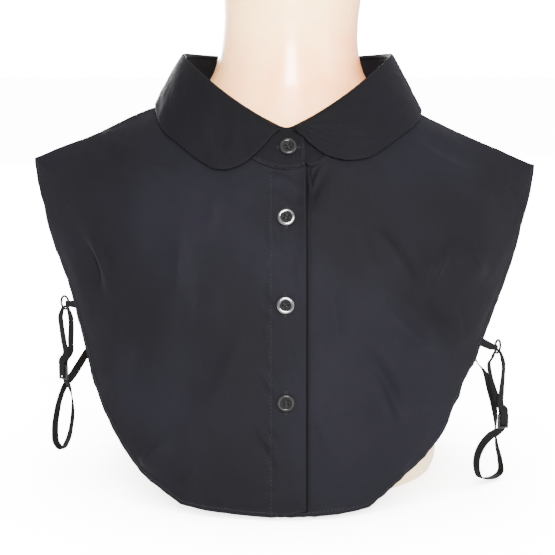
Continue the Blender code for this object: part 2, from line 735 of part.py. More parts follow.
def back_half(side, tree):
    """The outer face of half the back, from the centre to the side edge."""
    edge_table = np.asarray(SIDE_EDGE_BACK) * (side, 1, 1)
    seam = seam_shift(shoulder_seam(side, tree), 1)
    edge_table[-1] = seam[0]
    parts = np.linspace(0, 1, SIDE_ROWS)
    edge = along(edge_table, parts)
    lower = np.asarray(CENTRE_BACK[:-2])
    heights = lower[0, 0] + (lower[-1, 0] - lower[0, 0]) * parts
    depths = through(lower[:, 0], lower[:, 1], heights)[:, 0]
    turns = through(*zip(*SECTION_TURN_BACK), parts)[:, 0]
    share = 1 - np.linspace(1, 0, PANEL_COLUMNS) ** BACK_COLUMN_CROWDING
    rows = np.array([
        level_section((0, depths[k], heights[k]), edge[k], turns[k], edge[k, 0] * share)
        for k in range(SIDE_ROWS)
    ])
    upper = [(0, y, z) for z, y in CENTRE_BACK[-3:]]
    inner = along(upper, np.linspace(0, 1, YOKE_ROWS))
    top = collar_line(NECKLINE, side * (180 - NECK_END_TURN * share))
    top = top + (seam[-1] - top[-1]) * (share ** 6)[:, None]
    inner[-1] = top[0]
    inner[:, 0] = inner[-1, 0] * np.linspace(0, 1, YOKE_ROWS)
    yoke = patch(rows[-1], top, inner, seam, share)
    grid = np.concatenate([rows, yoke[1:]])
    pinned = np.zeros(grid.shape[:2], bool)
    pinned[:, [0, -1]] = True
    pinned[[0, -1]] = True
    pinned[:SIDE_ROWS - 2] = True
    grid = eased(grid, 4, pinned)
    pinned[:] = False
    pinned[-1] = True
    pinned[-YOKE_ROWS:, -1] = True
    return keep_off(grid, tree, PANEL_WALL + SEAT_GAP, pinned)


def make_back(tree):
    right, left = back_half(RIGHT, tree), back_half(LEFT, tree)
    outer = np.concatenate([left[:, ::-1], right[:, 1:]], axis=1)
    outer = folded(outer, BACK_FOLDS)
    inner = wall_inner(outer, [0, -1])
    two_sided("back", outer, inner, BLACK_CLOTH)
    return outer


# Collar

def stand_faces():
    """The stand's outer and inner faces, foot to top, from its button end round to its buttonhole end."""
    turns = np.linspace(STAND_OVERLAP, -(360 + STAND_OVERLAP), STAND_COLUMNS)
    foot, crest, upright, outward, level = collar_frame(turns)
    foot = foot + upright * STAND_FOOT_LIFT
    top = crest - upright * (ROLL_RISE + ROLL_ROOM + LEAF_WALL + 2.5 * SEAM_GAP)
    under = STAND_UNDER_SHIFT * smooth_step(-turns, 360 - 42, 360 - 16)
    levels = np.linspace(0, 1, 4)[:, None, None]
    outer = foot[None] * (1 - levels) + top[None] * levels
    outer = outer - (level * under[:, None])[None]
    return outer, outer - (outward * STAND_WALL)[None]


def make_stand():
    outer, inner = stand_faces()
    two_sided("collar_stand", outer, inner, BLACK_CLOTH)
    return outer


def collar_frame(turns):
    """Foot and fold of the collar at each turn, with the upright and the outward directions there."""
    foot = collar_line(NECKLINE, turns)
    crest = collar_line(FOLD_LINE, turns)
    upright = unit(crest - foot)
    level = unit(np.stack([foot[:, 0], foot[:, 1] + COLLAR_CENTRE_BACK, np.zeros(len(foot))], axis=1))
    outward = unit(level - upright * (level * upright).sum(axis=1, keepdims=True))
    return foot, crest, upright, outward, level


def laid_on(points, way, tree, gap):
    """Points drawn out along a direction until they clear a surface by the gap."""
    flat, ways = points.reshape(-1, 3).copy(), np.broadcast_to(way, points.shape).reshape(-1, 3)
    for k, (point, out) in enumerate(zip(flat, ways)):
        start = Vector(point + out * LAY_REACH)
        place, _, _, _ = tree.ray_cast(start, Vector(-out), 2 * LAY_REACH)
        if place is not None and (Vector(point) - place).dot(Vector(out)) < gap:
            flat[k] = np.array(place) + out * gap
    return flat.reshape(points.shape)


def leaf_turns():
    """Turns of the leaf's stations, close together at its two round ends."""
    table = np.asarray(LEAF_EDGE)
    first, last = table[LEAF_END_ROWS, 0], table[-1 - LEAF_END_ROWS, 0]
    middle = LEAF_STATIONS - 2 * LEAF_END_STATIONS
    return np.concatenate([
        np.linspace(table[0, 0], first, LEAF_END_STATIONS, endpoint=False),
        np.linspace(first, last, middle, endpoint=False),
        np.linspace(last, table[-1, 0], LEAF_END_STATIONS),
    ])


def leaf_faces(panels, stand):
    """The leaf's outer and inner faces: up from the stand's top, over the roll, down to the outer edge."""
    table = np.asarray(LEAF_EDGE)
    turns = leaf_turns()
    edge = through(-table[:, 0], table[:, 1:], -turns)
    _, crest, upright, outward, level = collar_frame(turns)
    root = crest - upright * (ROLL_RISE + ROLL_ROOM + LEAF_WALL)
    centre = root + upright * ROLL_RISE + outward * (ROLL_ROOM / 2)
    inner, outer = [], []
    for radius, rows in ((ROLL_ROOM, inner), (ROLL_ROOM + LEAF_WALL, outer)):
        rows.append(root + outward * (ROLL_ROOM / 2 - radius))
        for angle in np.linspace(math.pi, 0, LEAF_ROLL_STEPS + 1):
            rows.append(centre + outward * radius * math.cos(angle) + upright * radius * math.sin(angle))
    start = inner[-1]
    edge = laid_on(edge, unit(level + LAY_UP), panels, LAY_GAP)
    edge = laid_on(edge, unit(level + LAY_UP), stand, LAY_GAP)
    length = np.linalg.norm(edge - start, axis=1, keepdims=True)
    control = start + (edge - start) * 0.40 + outward * length * LEAF_BOW
    fall = []
    for t in np.linspace(0, 1, LEAF_FALL_STEPS + 1)[1:]:
        fall.append((1 - t) ** 2 * start + 2 * t * (1 - t) * control + t * t * edge)
    fall = np.array(fall)
    fall = laid_on(fall, unit(level + LAY_UP)[None], panels, LAY_GAP)
    fall = laid_on(fall, unit(level + LAY_UP)[None], stand, LAY_GAP)
    inner_grid = np.array(inner + list(fall))
    normals = sheet_normals(inner_grid)[-LEAF_FALL_STEPS:]
    normals *= np.sign((normals * outward[None]).sum(axis=-1, keepdims=True))
    return np.array(outer + list(fall + normals * LEAF_WALL)), inner_grid


def sheet_tree(*grids):
    """One surface of several outer faces, with its normals facing out."""
    points, faces, start = [], [], 0
    for grid in grids:
        rows, columns = grid.shape[:2]
        points.extend(grid.reshape(-1, 3).tolist())
        faces.extend(sheet_faces(rows, columns, start, turned=not faces_out(grid)))
        start += rows * columns
    return BVHTree.FromPolygons(points, faces)


def make_leaf(panels, stand_outer):
    outer, inner = leaf_faces(panels, sheet_tree(stand_outer))
    two_sided("collar_leaf", outer, inner, BLACK_CLOTH)


# Buttons

def turned(profile, sides, centre, way):
    """Points of a turned shape, its axis along way, one ring for each row of the profile."""
    way = unit(np.asarray(way, float))
    across = unit(np.cross((0, 0, 1), way))
    up = np.cross(way, across)
    turn = np.linspace(0, 2 * math.pi, sides, endpoint=False)[:, None]
    ring = across * np.cos(turn) + up * np.sin(turn)
    return [np.asarray(centre) + ring * radius + way * height for radius, height in profile]


def on_surface(tree, x, height):
    """The place and the outward direction where a level line from the front meets a surface."""
    place, normal, _, _ = tree.ray_cast(Vector((x, -0.4, height)), Vector((0, 1, 0)))
    normal = -normal if normal.y > 0 else normal
    return np.array(place), np.array(normal)


def make_buttons(front_tree, stand_tree):
    for name, x, height, carrier in BUTTONS:
        place, way = on_surface(stand_tree if carrier == "stand" else front_tree, x, height)
        rings = turned(BUTTON_PROFILE, BUTTON_SIDES, place + way * (SEAM_GAP + 0.0001), way)
        rings_solid(name, rings, BLACK_BUTTON)


# Straps

def edge_frame(edge, beside, height):
    """A point on a panel's side edge, the level way on past the edge, and the way in behind the panel."""
    point, near = (through(line[:, 2], line, height)[0] for line in (edge, beside))
    past = unit((point - near) * (1, 1, 0))
    inward = np.array([-past[1], past[0], 0])
    return point, past, -inward * math.copysign(1, inward[0] * point[0])


def ribbon(name, route, wall, look):
    """A flat strap along a route of points with the turn, the lean and the share of its width."""
    points, turns, leans = route[:, :3], np.radians(route[:, 3]), np.radians(route[:, 4])
    widths = np.stack([np.cos(leans) * np.cos(turns), np.cos(leans) * np.sin(turns), np.sin(leans)], axis=1)
    tangents = unit(np.gradient(points, axis=0))
    widths = unit(widths - tangents * (widths * tangents).sum(axis=1, keepdims=True))
    faces = np.cross(tangents, widths)
    half, thick = widths * (STRAP_WIDTH / 2 * route[:, 5])[:, None], faces * wall / 2
    corners = [points - half - thick, points + half - thick, points + half + thick, points - half + thick]
    return rings_solid(name, list(np.stack(corners, axis=1)), look)


def make_ring(name, centre, turn):
    """A round wire ring that stands upright, its plane turned from X."""
    plane = np.array([math.cos(turn), math.sin(turn), 0])
    axis = np.array([-plane[1], plane[0], 0])
    points, faces = [], []
    for i in range(RING_SIDES):
        a = 2 * math.pi * i / RING_SIDES
        out = plane * math.cos(a) + np.array([0, 0, math.sin(a)])
        for j in range(WIRE_SIDES):
            b = 2 * math.pi * j / WIRE_SIDES
            points.append(centre + out * (RING_RADIUS + RING_WIRE * math.cos(b)) + axis * RING_WIRE * math.sin(b))
            here, there = i * WIRE_SIDES, (i + 1) % RING_SIDES * WIRE_SIDES
            faces.append((here + j, here + (j + 1) % WIRE_SIDES, there + (j + 1) % WIRE_SIDES, there + j))
    piece(name, points, faces, BLACK_HARDWARE)


def make_slider(name, middle, turn):
    """A flat slider with two slots and a bar between them."""
    across = np.array([math.cos(turn), math.sin(turn), 0])
    out = np.array([across[1], -across[0], 0])
    xs = [-SLIDER_WIDTH / 2, SLIDER_BAR - SLIDER_WIDTH / 2, SLIDER_WIDTH / 2 - SLIDER_BAR, SLIDER_WIDTH / 2]
    half = SLIDER_HEIGHT / 2
    zs = [-half, SLIDER_BAR - half, -SLIDER_BAR / 2, SLIDER_BAR / 2, half - SLIDER_BAR, half]
    slots = {(1, 1), (1, 3)}
    columns, rows = len(xs), len(zs)
    count = columns * rows
    points = [
        np.asarray(middle) + across * x + np.array([0, 0, z]) + out * level
        for level in (SLIDER_WALL / 2, -SLIDER_WALL / 2) for z in zs for x in xs
    ]
    faces, sides = [], {}
    for j in range(rows - 1):
        for i in range(columns - 1):
            if (i, j) in slots:
                continue
            a = j * columns + i
            front = (a, a + 1, a + columns + 1, a + columns)
            faces.append(front)
            faces.append(tuple(k + count for k in front[::-1]))
            for edge in zip(front, front[1:] + front[:1]):
                sides[edge] = True
    for a, b in sides:
        if (b, a) not in sides:
            faces.append((b, a, a + count, b + count))
    piece(name, points, faces, BLACK_HARDWARE)


def route_through(rows):
    """A smooth route through the rows of a strap's table, with more points where the rows are far apart."""
    rows = np.asarray(rows, float)
    runs = np.linalg.norm(np.diff(rows[:, :3], axis=0), axis=1)
    knots = np.concatenate([[0], np.cumsum(runs)])
    stops = [knots[:1]]
    for start, end in zip(knots, knots[1:]):
        stops.append(np.linspace(start, end, 1 + math.ceil((end - start) / STRAP_STEP))[1:])
    return through(knots, rows, np.concatenate(stops))


def round_wire(place, ahead, aside, turn, lean):
    """Rows that take a strap round a wire at place: ahead of it, then back on its other side."""
    steps = [(0.0002, -1.0), (0.0015, -0.8), (0.0022, 0.0), (0.0015, 0.8), (0.0002, 1.0)]
    return [(*(place + ahead * on + aside * WIRE_CLEAR * part), turn, lean, PINCH) for on, part in steps]


def make_tab(name, anchor, past, inward, wire, ring_way, aside):
    """A tab sewn behind a panel's edge, which goes out round the ring's wire and comes back."""
    first = PANEL_WALL + TAB_WALL / 2 + BEHIND_GAP
    second = first + TAB_WALL + SEAM_GAP
    rows = [
        (*(anchor - past * UNDER_PANEL + inward * first), 0, 90, 1),
        (*(anchor + past * 0.001 + inward * first), 0, 90, 1),
        *round_wire(wire, ring_way, aside, 0, 90),
        (*(anchor + past * 0.001 + inward * second), 0, 90, 1),
        (*(anchor - past * UNDER_PANEL + inward * second), 0, 90, 1),
    ]
    ribbon(name, route_through(rows), TAB_WALL, BLACK_ELASTIC)


def make_strap_side(side, front, back):
    """The tab, ring, slider and strap of one side."""
    end = "right" if side == RIGHT else "left"
    height, centre, ring_turn, middle, slider_turn, back_height = STRAP_SIDES[side]
    centre, middle, up = np.array(centre), np.array(middle), np.array([0, 0, 1])
    turn = math.radians(ring_turn)
    ring_way = np.array([math.cos(turn), math.sin(turn), 0])
    aside = side * np.array([-ring_way[1], ring_way[0], 0])
    anchor, past, inward = edge_frame(front[:, -1], front[:, -2], height)
    make_tab("tab_" + end, anchor, past, inward, centre - ring_way * RING_RADIUS, ring_way, aside)
    make_ring("ring_" + end, centre, turn)
    tilt = math.radians(slider_turn)
    make_slider("slider_" + end, middle, tilt)
    behind = np.array([-math.sin(tilt), math.cos(tilt), 0])
    low = centre - up * RING_RADIUS
    hang_turn = ring_turn - 180 if side == RIGHT else ring_turn
    near, far = (1, 0) if side == LEFT else (-2, -1)
    last, beyond, within = edge_frame(back[:, far], back[:, near], back_height)
    sewn = within * (PANEL_WALL + STRAP_WALL / 2 + BEHIND_GAP)
    end_turn = STRAP_SLACK[side][-1][3]
    rows = [
        (*(middle - up * 0.0026), slider_turn, 0, SLOT_PINCH),
        (*(middle - behind * 0.00115 - up * 0.0018), slider_turn, 0, SLOT_PINCH),
        (*(middle - behind * SLIDER_CLEAR), slider_turn, 0, SLOT_PINCH),
        (*(middle - behind * SLIDER_CLEAR + up * 0.0040), slider_turn, 0, SLOT_PINCH),
        (*(middle - behind * SLIDER_CLEAR * 1.2 + up * 0.0085), slider_turn, 0, 1),
        *STRAP_UP[side],
        (*(low - aside * WIRE_CLEAR * 1.2 - up * 0.0040), hang_turn, 0, 0.85),
        *round_wire(low, up, aside, hang_turn, 0),
        (*(low + aside * WIRE_CLEAR * 1.2 - up * 0.0040), hang_turn, 0, 0.85),
        *STRAP_DOWN[side],
        (*(middle + behind * SLIDER_CLEAR * 1.2 + up * 0.0085), slider_turn, 0, 1),
        (*(middle + behind * SLIDER_CLEAR + up * 0.0040), slider_turn, 0, 1),
        (*(middle + behind * SLIDER_CLEAR * 1.05 - up * 0.0010), slider_turn, 0, 1),
        (*(middle + behind * SLIDER_CLEAR * 1.25 - up * 0.0062), slider_turn, 0, 1),
        *STRAP_SLACK[side],
        (*(last + beyond * 0.006 + sewn), end_turn, 82, 1),
        (*(last - beyond * 0.001 + sewn), end_turn, 90, 1),
        (*(last - beyond * UNDER_PANEL + sewn), end_turn, 90, 1),
    ]
    ribbon("strap_" + end, route_through(rows), STRAP_WALL, BLACK_ELASTIC)


def build():
    for old in list(bpy.data.objects):
        bpy.data.objects.remove(old, do_unlink=True)
    bust = bust_tree()
    make_bust()
    right = make_front(RIGHT, bust)
    left = make_front(LEFT, bust, right)
    back = make_back(bust)
    stand = make_stand()
    panels = sheet_tree(right, left, back)
    make_leaf(panels, stand)
    make_buttons(sheet_tree(right), sheet_tree(stand))
    make_strap_side(RIGHT, right, back)
    make_strap_side(LEFT, left, back)


build()
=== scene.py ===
"""Looks of the detachable shirt collar on its bust: black poplin, buttons, side straps and cream plastic.

Metres, +Z up, the front faces -Y. The cloth lies on the outer faces of the CAD panels, whose sizes are repeated here.
Right and left are the wearer's, so the right front lies at -X and buttons over the left one.
"""

import math

import bmesh
import bpy
import numpy as np
from mathutils import Matrix, Vector
from mathutils.bvhtree import BVHTree
from mathutils.kdtree import KDTree


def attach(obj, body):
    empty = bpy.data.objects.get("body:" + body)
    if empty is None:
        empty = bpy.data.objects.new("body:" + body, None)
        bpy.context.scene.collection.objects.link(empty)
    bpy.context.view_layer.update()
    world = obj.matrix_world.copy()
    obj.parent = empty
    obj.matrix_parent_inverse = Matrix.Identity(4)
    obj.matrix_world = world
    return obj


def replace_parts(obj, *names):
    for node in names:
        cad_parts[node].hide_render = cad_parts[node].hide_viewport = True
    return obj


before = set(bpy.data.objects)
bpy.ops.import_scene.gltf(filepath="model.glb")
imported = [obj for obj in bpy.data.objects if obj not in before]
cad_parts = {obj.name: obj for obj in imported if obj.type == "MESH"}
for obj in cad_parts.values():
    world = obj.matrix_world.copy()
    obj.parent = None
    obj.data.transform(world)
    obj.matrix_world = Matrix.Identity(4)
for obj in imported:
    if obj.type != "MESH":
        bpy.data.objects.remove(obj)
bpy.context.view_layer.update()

SEAM_GAP = 0.0003
SEAM_WAY = (0.0, -0.45, 0.90)
SEAT_GAP = 0.0008
PANEL_WALL = 0.0011
STAND_WALL = 0.0020
LEAF_WALL = 0.0016

# Right and left sides, as the sign of X
RIGHT = -1
LEFT = 1

# Bust, its level sections: height, half-width and depths of the body, then of the shoulder bar
BUST_SECTIONS = [
    # height, body_half, body_front, body_back, bar_half, bar_depth
    (0.000, 0.1060, 0.0930, 0.0920, 0.060, 0.020),
    (0.0012, 0.1085, 0.0950, 0.0940, 0.060, 0.020),
    (0.004, 0.1105, 0.0970, 0.0955, 0.060, 0.020),
    (0.030, 0.1130, 0.1000, 0.0970, 0.060, 0.020),
    (0.070, 0.1170, 0.1050, 0.0980, 0.060, 0.020),
    (0.110, 0.1230, 0.1110, 0.0980, 0.060, 0.020),
    (0.150, 0.1330, 0.1150, 0.0970, 0.080, 0.020),
    (0.180, 0.1430, 0.1120, 0.0930, 0.095, 0.025),
    (0.200, 0.1460, 0.1050, 0.0890, 0.120, 0.035),
    (0.218, 0.1400, 0.0960, 0.0840, 0.145, 0.046),
    (0.232, 0.1200, 0.0880, 0.0780, 0.151, 0.045),
    (0.243, 0.1000, 0.0820, 0.0720, 0.146, 0.039),
    (0.252, 0.0880, 0.0770, 0.0670, 0.134, 0.032),
    (0.260, 0.0810, 0.0730, 0.0630, 0.117, 0.026),
    (0.266, 0.0770, 0.0695, 0.0600, 0.104, 0.022),
    (0.272, 0.0740, 0.0665, 0.0575, 0.088, 0.019),
    (0.279, 0.0700, 0.0635, 0.0555, 0.076, 0.016),
    (0.288, 0.0635, 0.0600, 0.0540, 0.060, 0.012),
    (0.300, 0.0565, 0.0560, 0.0530, 0.040, 0.010),
    (0.318, 0.0515, 0.0535, 0.0525, 0.030, 0.010),
    (0.340, 0.0490, 0.0525, 0.0525, 0.030, 0.010),
    (0.362, 0.0485, 0.0525, 0.0525, 0.030, 0.010),
    (0.369, 0.0470, 0.0510, 0.0510, 0.030, 0.010),
    (0.372, 0.0430, 0.0470, 0.0470, 0.030, 0.010),
]
BAR_BLEND = 10
BUST_SIDES = 48

# Middle of the garment, outer face: depth at each height
CENTRE_FRONT = [
    # height, y
    (0.0025, -0.1400),
    (0.040, -0.1380),
    (0.080, -0.1350),
    (0.120, -0.1310),
    (0.160, -0.1265),
    (0.190, -0.1200),
    (0.216, -0.1100),
    (0.2407, -0.0950),
]
CENTRE_BACK = [
    # height, y
    (0.0080, 0.1060),
    (0.060, 0.1060),
    (0.120, 0.1040),
    (0.170, 0.1010),
    (0.205, 0.0950),
    (0.228, 0.0880),
    (0.255, 0.0770),
    (0.2805, 0.0605),
]

# Side edges from the hem corner up to the shoulder tip, outer face
SIDE_EDGE_FRONT_RIGHT = [
    # x, y, z
    (-0.0767, -0.1240, 0.0071),
    (-0.0887, -0.1180, 0.0140),
    (-0.1024, -0.1100, 0.0232),
    (-0.1228, -0.0950, 0.0483),
    (-0.1396, -0.0780, 0.0794),
    (-0.1489, -0.0640, 0.1088),
    (-0.1594, -0.0480, 0.1444),
    (-0.1704, -0.0360, 0.1707),
    (-0.1796, -0.0240, 0.1943),
    (-0.1863, -0.0140, 0.2156),
    (-0.1905, -0.0060, 0.2388),
]
SIDE_EDGE_FRONT_LEFT = [
    # x, y, z
    (0.0560, -0.1245, 0.0050),
    (0.0687, -0.1170, 0.0137),
    (0.0807, -0.1100, 0.0232),
    (0.1088, -0.0940, 0.0480),
    (0.1237, -0.0780, 0.0794),
    (0.1401, -0.0620, 0.1077),
    (0.1546, -0.0470, 0.1442),
    (0.1658, -0.0350, 0.1690),
    (0.1736, -0.0230, 0.1927),
    (0.1805, -0.0140, 0.2126),
    (0.1840, -0.0060, 0.2335),
]
SIDE_EDGE_BACK = [
    # x, y, z for the left side, and mirrored for the right
    (0.0700, 0.1000, 0.0120),
    (0.0900, 0.0940, 0.0240),
    (0.1120, 0.0840, 0.0480),
    (0.1310, 0.0710, 0.0800),
    (0.1440, 0.0590, 0.1100),
    (0.1560, 0.0460, 0.1440),
    (0.1670, 0.0330, 0.1710),
    (0.1760, 0.0220, 0.1940),
    (0.1810, 0.0110, 0.2140),
    (0.1850, -0.0050, 0.2340),
]

# Shoulder seams from the tip to the neck, outer face. They lie a little forward of the ridge
SHOULDER_SEAM_RIGHT = [
    # x, y, z
    (-0.1905, -0.0060, 0.2388),
    (-0.1680, -0.0100, 0.2480),
    (-0.1410, -0.0130, 0.2590),
    (-0.1100, -0.0120, 0.2735),
    (-0.0815, -0.0060, 0.2825),
]
SHOULDER_SEAM_LEFT = [
    # x, y, z
    (0.1840, -0.0060, 0.2335),
    (0.1640, -0.0100, 0.2425),
    (0.1400, -0.0130, 0.2532),
    (0.1100, -0.0120, 0.2655),
    (0.0815, -0.0060, 0.2825),
]

# Neckline, where the stand's foot is sewn on, and the fold line of the leaf, by turn from the front
NECKLINE = [
    # degrees, x, y, z
    (0, 0.0000, -0.0950, 0.2407),
    (20, 0.0290, -0.0870, 0.2500),
    (30, 0.0420, -0.0790, 0.2590),
    (43, 0.0560, -0.0640, 0.2690),
    (58, 0.0680, -0.0440, 0.2770),
    (75, 0.0750, -0.0220, 0.2825),
    (90, 0.0775, -0.0030, 0.2850),
    (110, 0.0750, 0.0180, 0.2855),
    (130, 0.0630, 0.0370, 0.2840),
    (155, 0.0350, 0.0540, 0.2815),
    (180, 0.0000, 0.0605, 0.2805),
]
FOLD_LINE = [
    # degrees, x, y, z
    (0, 0.0000, -0.0800, 0.2676),
    (9, 0.0125, -0.0780, 0.2725),
    (20, 0.0275, -0.0740, 0.2810),
    (30, 0.0400, -0.0680, 0.2890),
    (43, 0.0540, -0.0570, 0.2990),
    (58, 0.0658, -0.0400, 0.3077),
    (75, 0.0742, -0.0200, 0.3135),
    (90, 0.0772, -0.0020, 0.3155),
    (110, 0.0765, 0.0200, 0.3155),
    (130, 0.0690, 0.0430, 0.3140),
    (150, 0.0500, 0.0600, 0.3120),
    (180, 0.0000, 0.0690, 0.3105),
]
COLLAR_MIDDLE = -0.0020
NECK_END_TURN = 86.0
STAND_OVERLAP = 8.5

# Leaf's outer edge, from the right front end round the back to the left one
LEAF_EDGE = [
    # degrees, x, y, z
    (-3.5, -0.0068, -0.0832, 0.2668),
    (-5.5, -0.0105, -0.0846, 0.2638),
    (-7.5, -0.0140, -0.0864, 0.2600),
    (-11.5, -0.0204, -0.0895, 0.2528),
    (-16.0, -0.0282, -0.0906, 0.2452),
    (-20.5, -0.0356, -0.0910, 0.2410),
    (-26.0, -0.0447, -0.0904, 0.2389),
    (-31.5, -0.0538, -0.0875, 0.2398),
    (-38.5, -0.0634, -0.0810, 0.2444),
    (-48.0, -0.0745, -0.0700, 0.2519),
    (-56.0, -0.0822, -0.0606, 0.2574),
    (-63.0, -0.0880, -0.0518, 0.2613),
    (-72.0, -0.0912, -0.0365, 0.2682),
    (-84.0, -0.0942, -0.0160, 0.2743),
    (-95.0, -0.0952, 0.0050, 0.2752),
    (-111.0, -0.0937, 0.0320, 0.2700),
    (-131.0, -0.0840, 0.0560, 0.2665),
    (-155.0, -0.0480, 0.0745, 0.2625),
    (-180.0, 0.0000, 0.0790, 0.2610),
    (-205.0, 0.0480, 0.0745, 0.2625),
    (-229.0, 0.0840, 0.0560, 0.2665),
    (-249.0, 0.0947, 0.0320, 0.2695),
    (-263.0, 0.0962, 0.0080, 0.2735),
    (-270.0, 0.0960, -0.0080, 0.2728),
    (-279.0, 0.0940, -0.0265, 0.2692),
    (-288.0, 0.0898, -0.0390, 0.2655),
    (-297.0, 0.0827, -0.0525, 0.2610),
    (-304.0, 0.0766, -0.0602, 0.2580),
    (-316.0, 0.0650, -0.0733, 0.2507),
    (-323.5, 0.0570, -0.0802, 0.2466),
    (-329.5, 0.0490, -0.0842, 0.2449),
    (-335.0, 0.0398, -0.0866, 0.2446),
    (-341.0, 0.0291, -0.0875, 0.2473),
    (-346.0, 0.0214, -0.0870, 0.2516),
    (-351.5, 0.0123, -0.0848, 0.2590),
    (-354.3, 0.0078, -0.0845, 0.2632),
    (-356.5, 0.0038, -0.0832, 0.2668),
]

# Front closing
PLACKET_EDGE = 0.0110
UNDERLAP_EDGE = -0.0120
UNDERLAP_SINK = PANEL_WALL + 0.0005
NECK_SINK = 0.0010
NECK_SINK_FROM = (0.205, 0.228)
NECK_DROP = 0.0026
NECK_DROP_FROM = (0.222, 0.238)
NECK_SLOPE = np.array([0, 0.20, 0.98])
UNDERLAP_EASE = (0.014, 0.034)
OVERLAP_HEM_RISE = 0.0050

# How far each level section turns back at its side edge, in degrees, from hem to shoulder tip
SECTION_TURN_FRONT = [(0.0, 52), (0.35, 60), (0.7, 62), (1.0, 55)]
SECTION_TURN_BACK = [(0.0, 62), (0.4, 68), (1.0, 62)]
HEM_CURVE = 1.8

# Folds of the fronts, as the photograph shows them and alike where it doesn't
FRONT_FOLDS = [
    # start_x, start_z, end_x, end_z, width, height
    (0.058, 0.200, 0.088, 0.150, 0.0100, 0.0036),
    (0.068, 0.142, 0.103, 0.112, 0.0094, 0.0038),
    (0.050, 0.118, 0.083, 0.062, 0.0112, -0.0036),
    (0.099, 0.160, 0.112, 0.185, 0.0088, 0.0034),
    (0.112, 0.185, 0.142, 0.160, 0.0094, 0.0034),
    (0.092, 0.150, 0.118, 0.112, 0.0100, -0.0031),
    (0.0165, 0.238, 0.0110, 0.218, 0.0060, -0.0036),
    (-0.075, 0.190, -0.080, 0.150, 0.0112, 0.0034),
    (-0.152, 0.186, -0.138, 0.150, 0.0100, -0.0043),
    (-0.135, 0.262, -0.085, 0.235, 0.0088, 0.0026),
    (-0.105, 0.030, -0.084, 0.050, 0.0100, 0.0034),
    (-0.030, 0.130, -0.055, 0.080, 0.0125, 0.0026),
]
BACK_FOLDS = [
    # start_x, start_z, end_x, end_z, width, height
    (-0.070, 0.200, -0.095, 0.140, 0.0112, 0.0036),
    (-0.040, 0.120, -0.062, 0.050, 0.0125, 0.0029),
    (0.030, 0.150, 0.048, 0.070, 0.0125, 0.0034),
    (0.085, 0.205, 0.112, 0.160, 0.0106, 0.0036),
    (0.100, 0.110, 0.070, 0.060, 0.0112, -0.0031),
    (-0.120, 0.170, -0.105, 0.110, 0.0112, -0.0034),
]
FOLD_EDGE_FADE = 0.012

# Grid of each panel
SIDE_ROWS = 15
YOKE_ROWS = 14
NECK_CORNER_ROW = 2
PANEL_COLUMNS = 18
BACK_COLUMN_CROWDING = 1.3
NECK_CROWDING = 1.25

# Collar parts
STAND_COLUMNS = 60
STAND_FOOT_LIFT = 0.0014
STAND_UNDER_SHIFT = 1.2 * STAND_WALL + 0.0004
LEAF_STATIONS = 60
LEAF_END_STATIONS = 10
LEAF_END_ROWS = 7
LEAF_FALL_STEPS = 5
LEAF_ROLL_STEPS = 2
LEAF_BOW = 0.02
ROLL_ROOM = 0.0006
ROLL_RISE = 0.0012
LAY_UP = (0.0, 0.0, 0.8)
LAY_GAP = 0.0018
LAY_REACH = 0.060
COLLAR_CENTRE_BACK = 0.010

BUTTONS = [
    # name, x, height, what it lies on
    ("button_1", -0.0008, 0.2545, "stand"),
    ("button_2", -0.0022, 0.2082, "front"),
    ("button_3", -0.0028, 0.1500, "front"),
    ("button_4", -0.0025, 0.0830, "front"),
]

# Straps at the sides. A tab holds a ring, the strap hangs from the ring through a slider to the back
STRAP_WIDTH = 0.0060
STRAP_WALL = 0.0010
STRAP_STEP = 0.0010
TAB_WALL = 0.0010
PINCH = 0.62
SLOT_PINCH = 0.85
RING_RADIUS = 0.0048
RING_WIRE = 0.0009
RING_SIDES = 20
WIRE_SIDES = 6
SLIDER_WIDTH = 0.0086
SLIDER_HEIGHT = 0.0110
SLIDER_WALL = 0.0016
SLIDER_BAR = 0.0015
UNDER_PANEL = 0.0060
BEHIND_GAP = 0.0006
WIRE_CLEAR = RING_WIRE + STRAP_WALL / 2 + SEAM_GAP
SLIDER_CLEAR = SLIDER_WALL / 2 + STRAP_WALL / 2 + SEAM_GAP
STRAP_SIDES = {
    # side: height on the front, middle and turn of the ring, middle and turn of the slider, height on the back
    RIGHT: (0.1355, (-0.1655, -0.0400, 0.1350), 132, (-0.1681, -0.0380, 0.0817), -38, 0.1020),
    LEFT: (0.1095, (0.1541, -0.0490, 0.1037), 58, (0.1584, -0.0560, 0.0488), 20, 0.0880),
}

# Run of each strap: from the slider's front up to the ring, and from the ring down behind the slider
STRAP_UP = {
    RIGHT: [
        # x, y, z, turn of its width from X, lean of its width from level, both in degrees, share of its width
        (-0.1660, -0.0405, 0.0952, -38, 0, 1.0),
        (-0.1668, -0.0422, 0.1063, -42, 0, 1.0),
        (-0.1681, -0.0436, 0.1188, -46, 0, 1.0),
    ],
    LEFT: [
        (0.1565, -0.0585, 0.0605, 30, 0, 1.0),
        (0.1566, -0.0570, 0.0715, 44, 0, 1.0),
        (0.1578, -0.0545, 0.0830, 56, 0, 1.0),
        (0.1581, -0.0525, 0.0920, 58, 0, 1.0),
    ],
}
STRAP_DOWN = {
    RIGHT: [
        (-0.1616, -0.0384, 0.1206, -46, 0, 1.0),
        (-0.1624, -0.0364, 0.1065, -42, 0, 1.0),
        (-0.1634, -0.0350, 0.0957, -40, 0, 1.0),
    ],
    LEFT: [
        (0.1489, -0.0465, 0.0920, 58, 0, 1.0),
        (0.1492, -0.0470, 0.0830, 56, 0, 1.0),
        (0.1518, -0.0490, 0.0720, 44, 0, 1.0),
        (0.1552, -0.0515, 0.0620, 28, 0, 1.0),
    ],
}

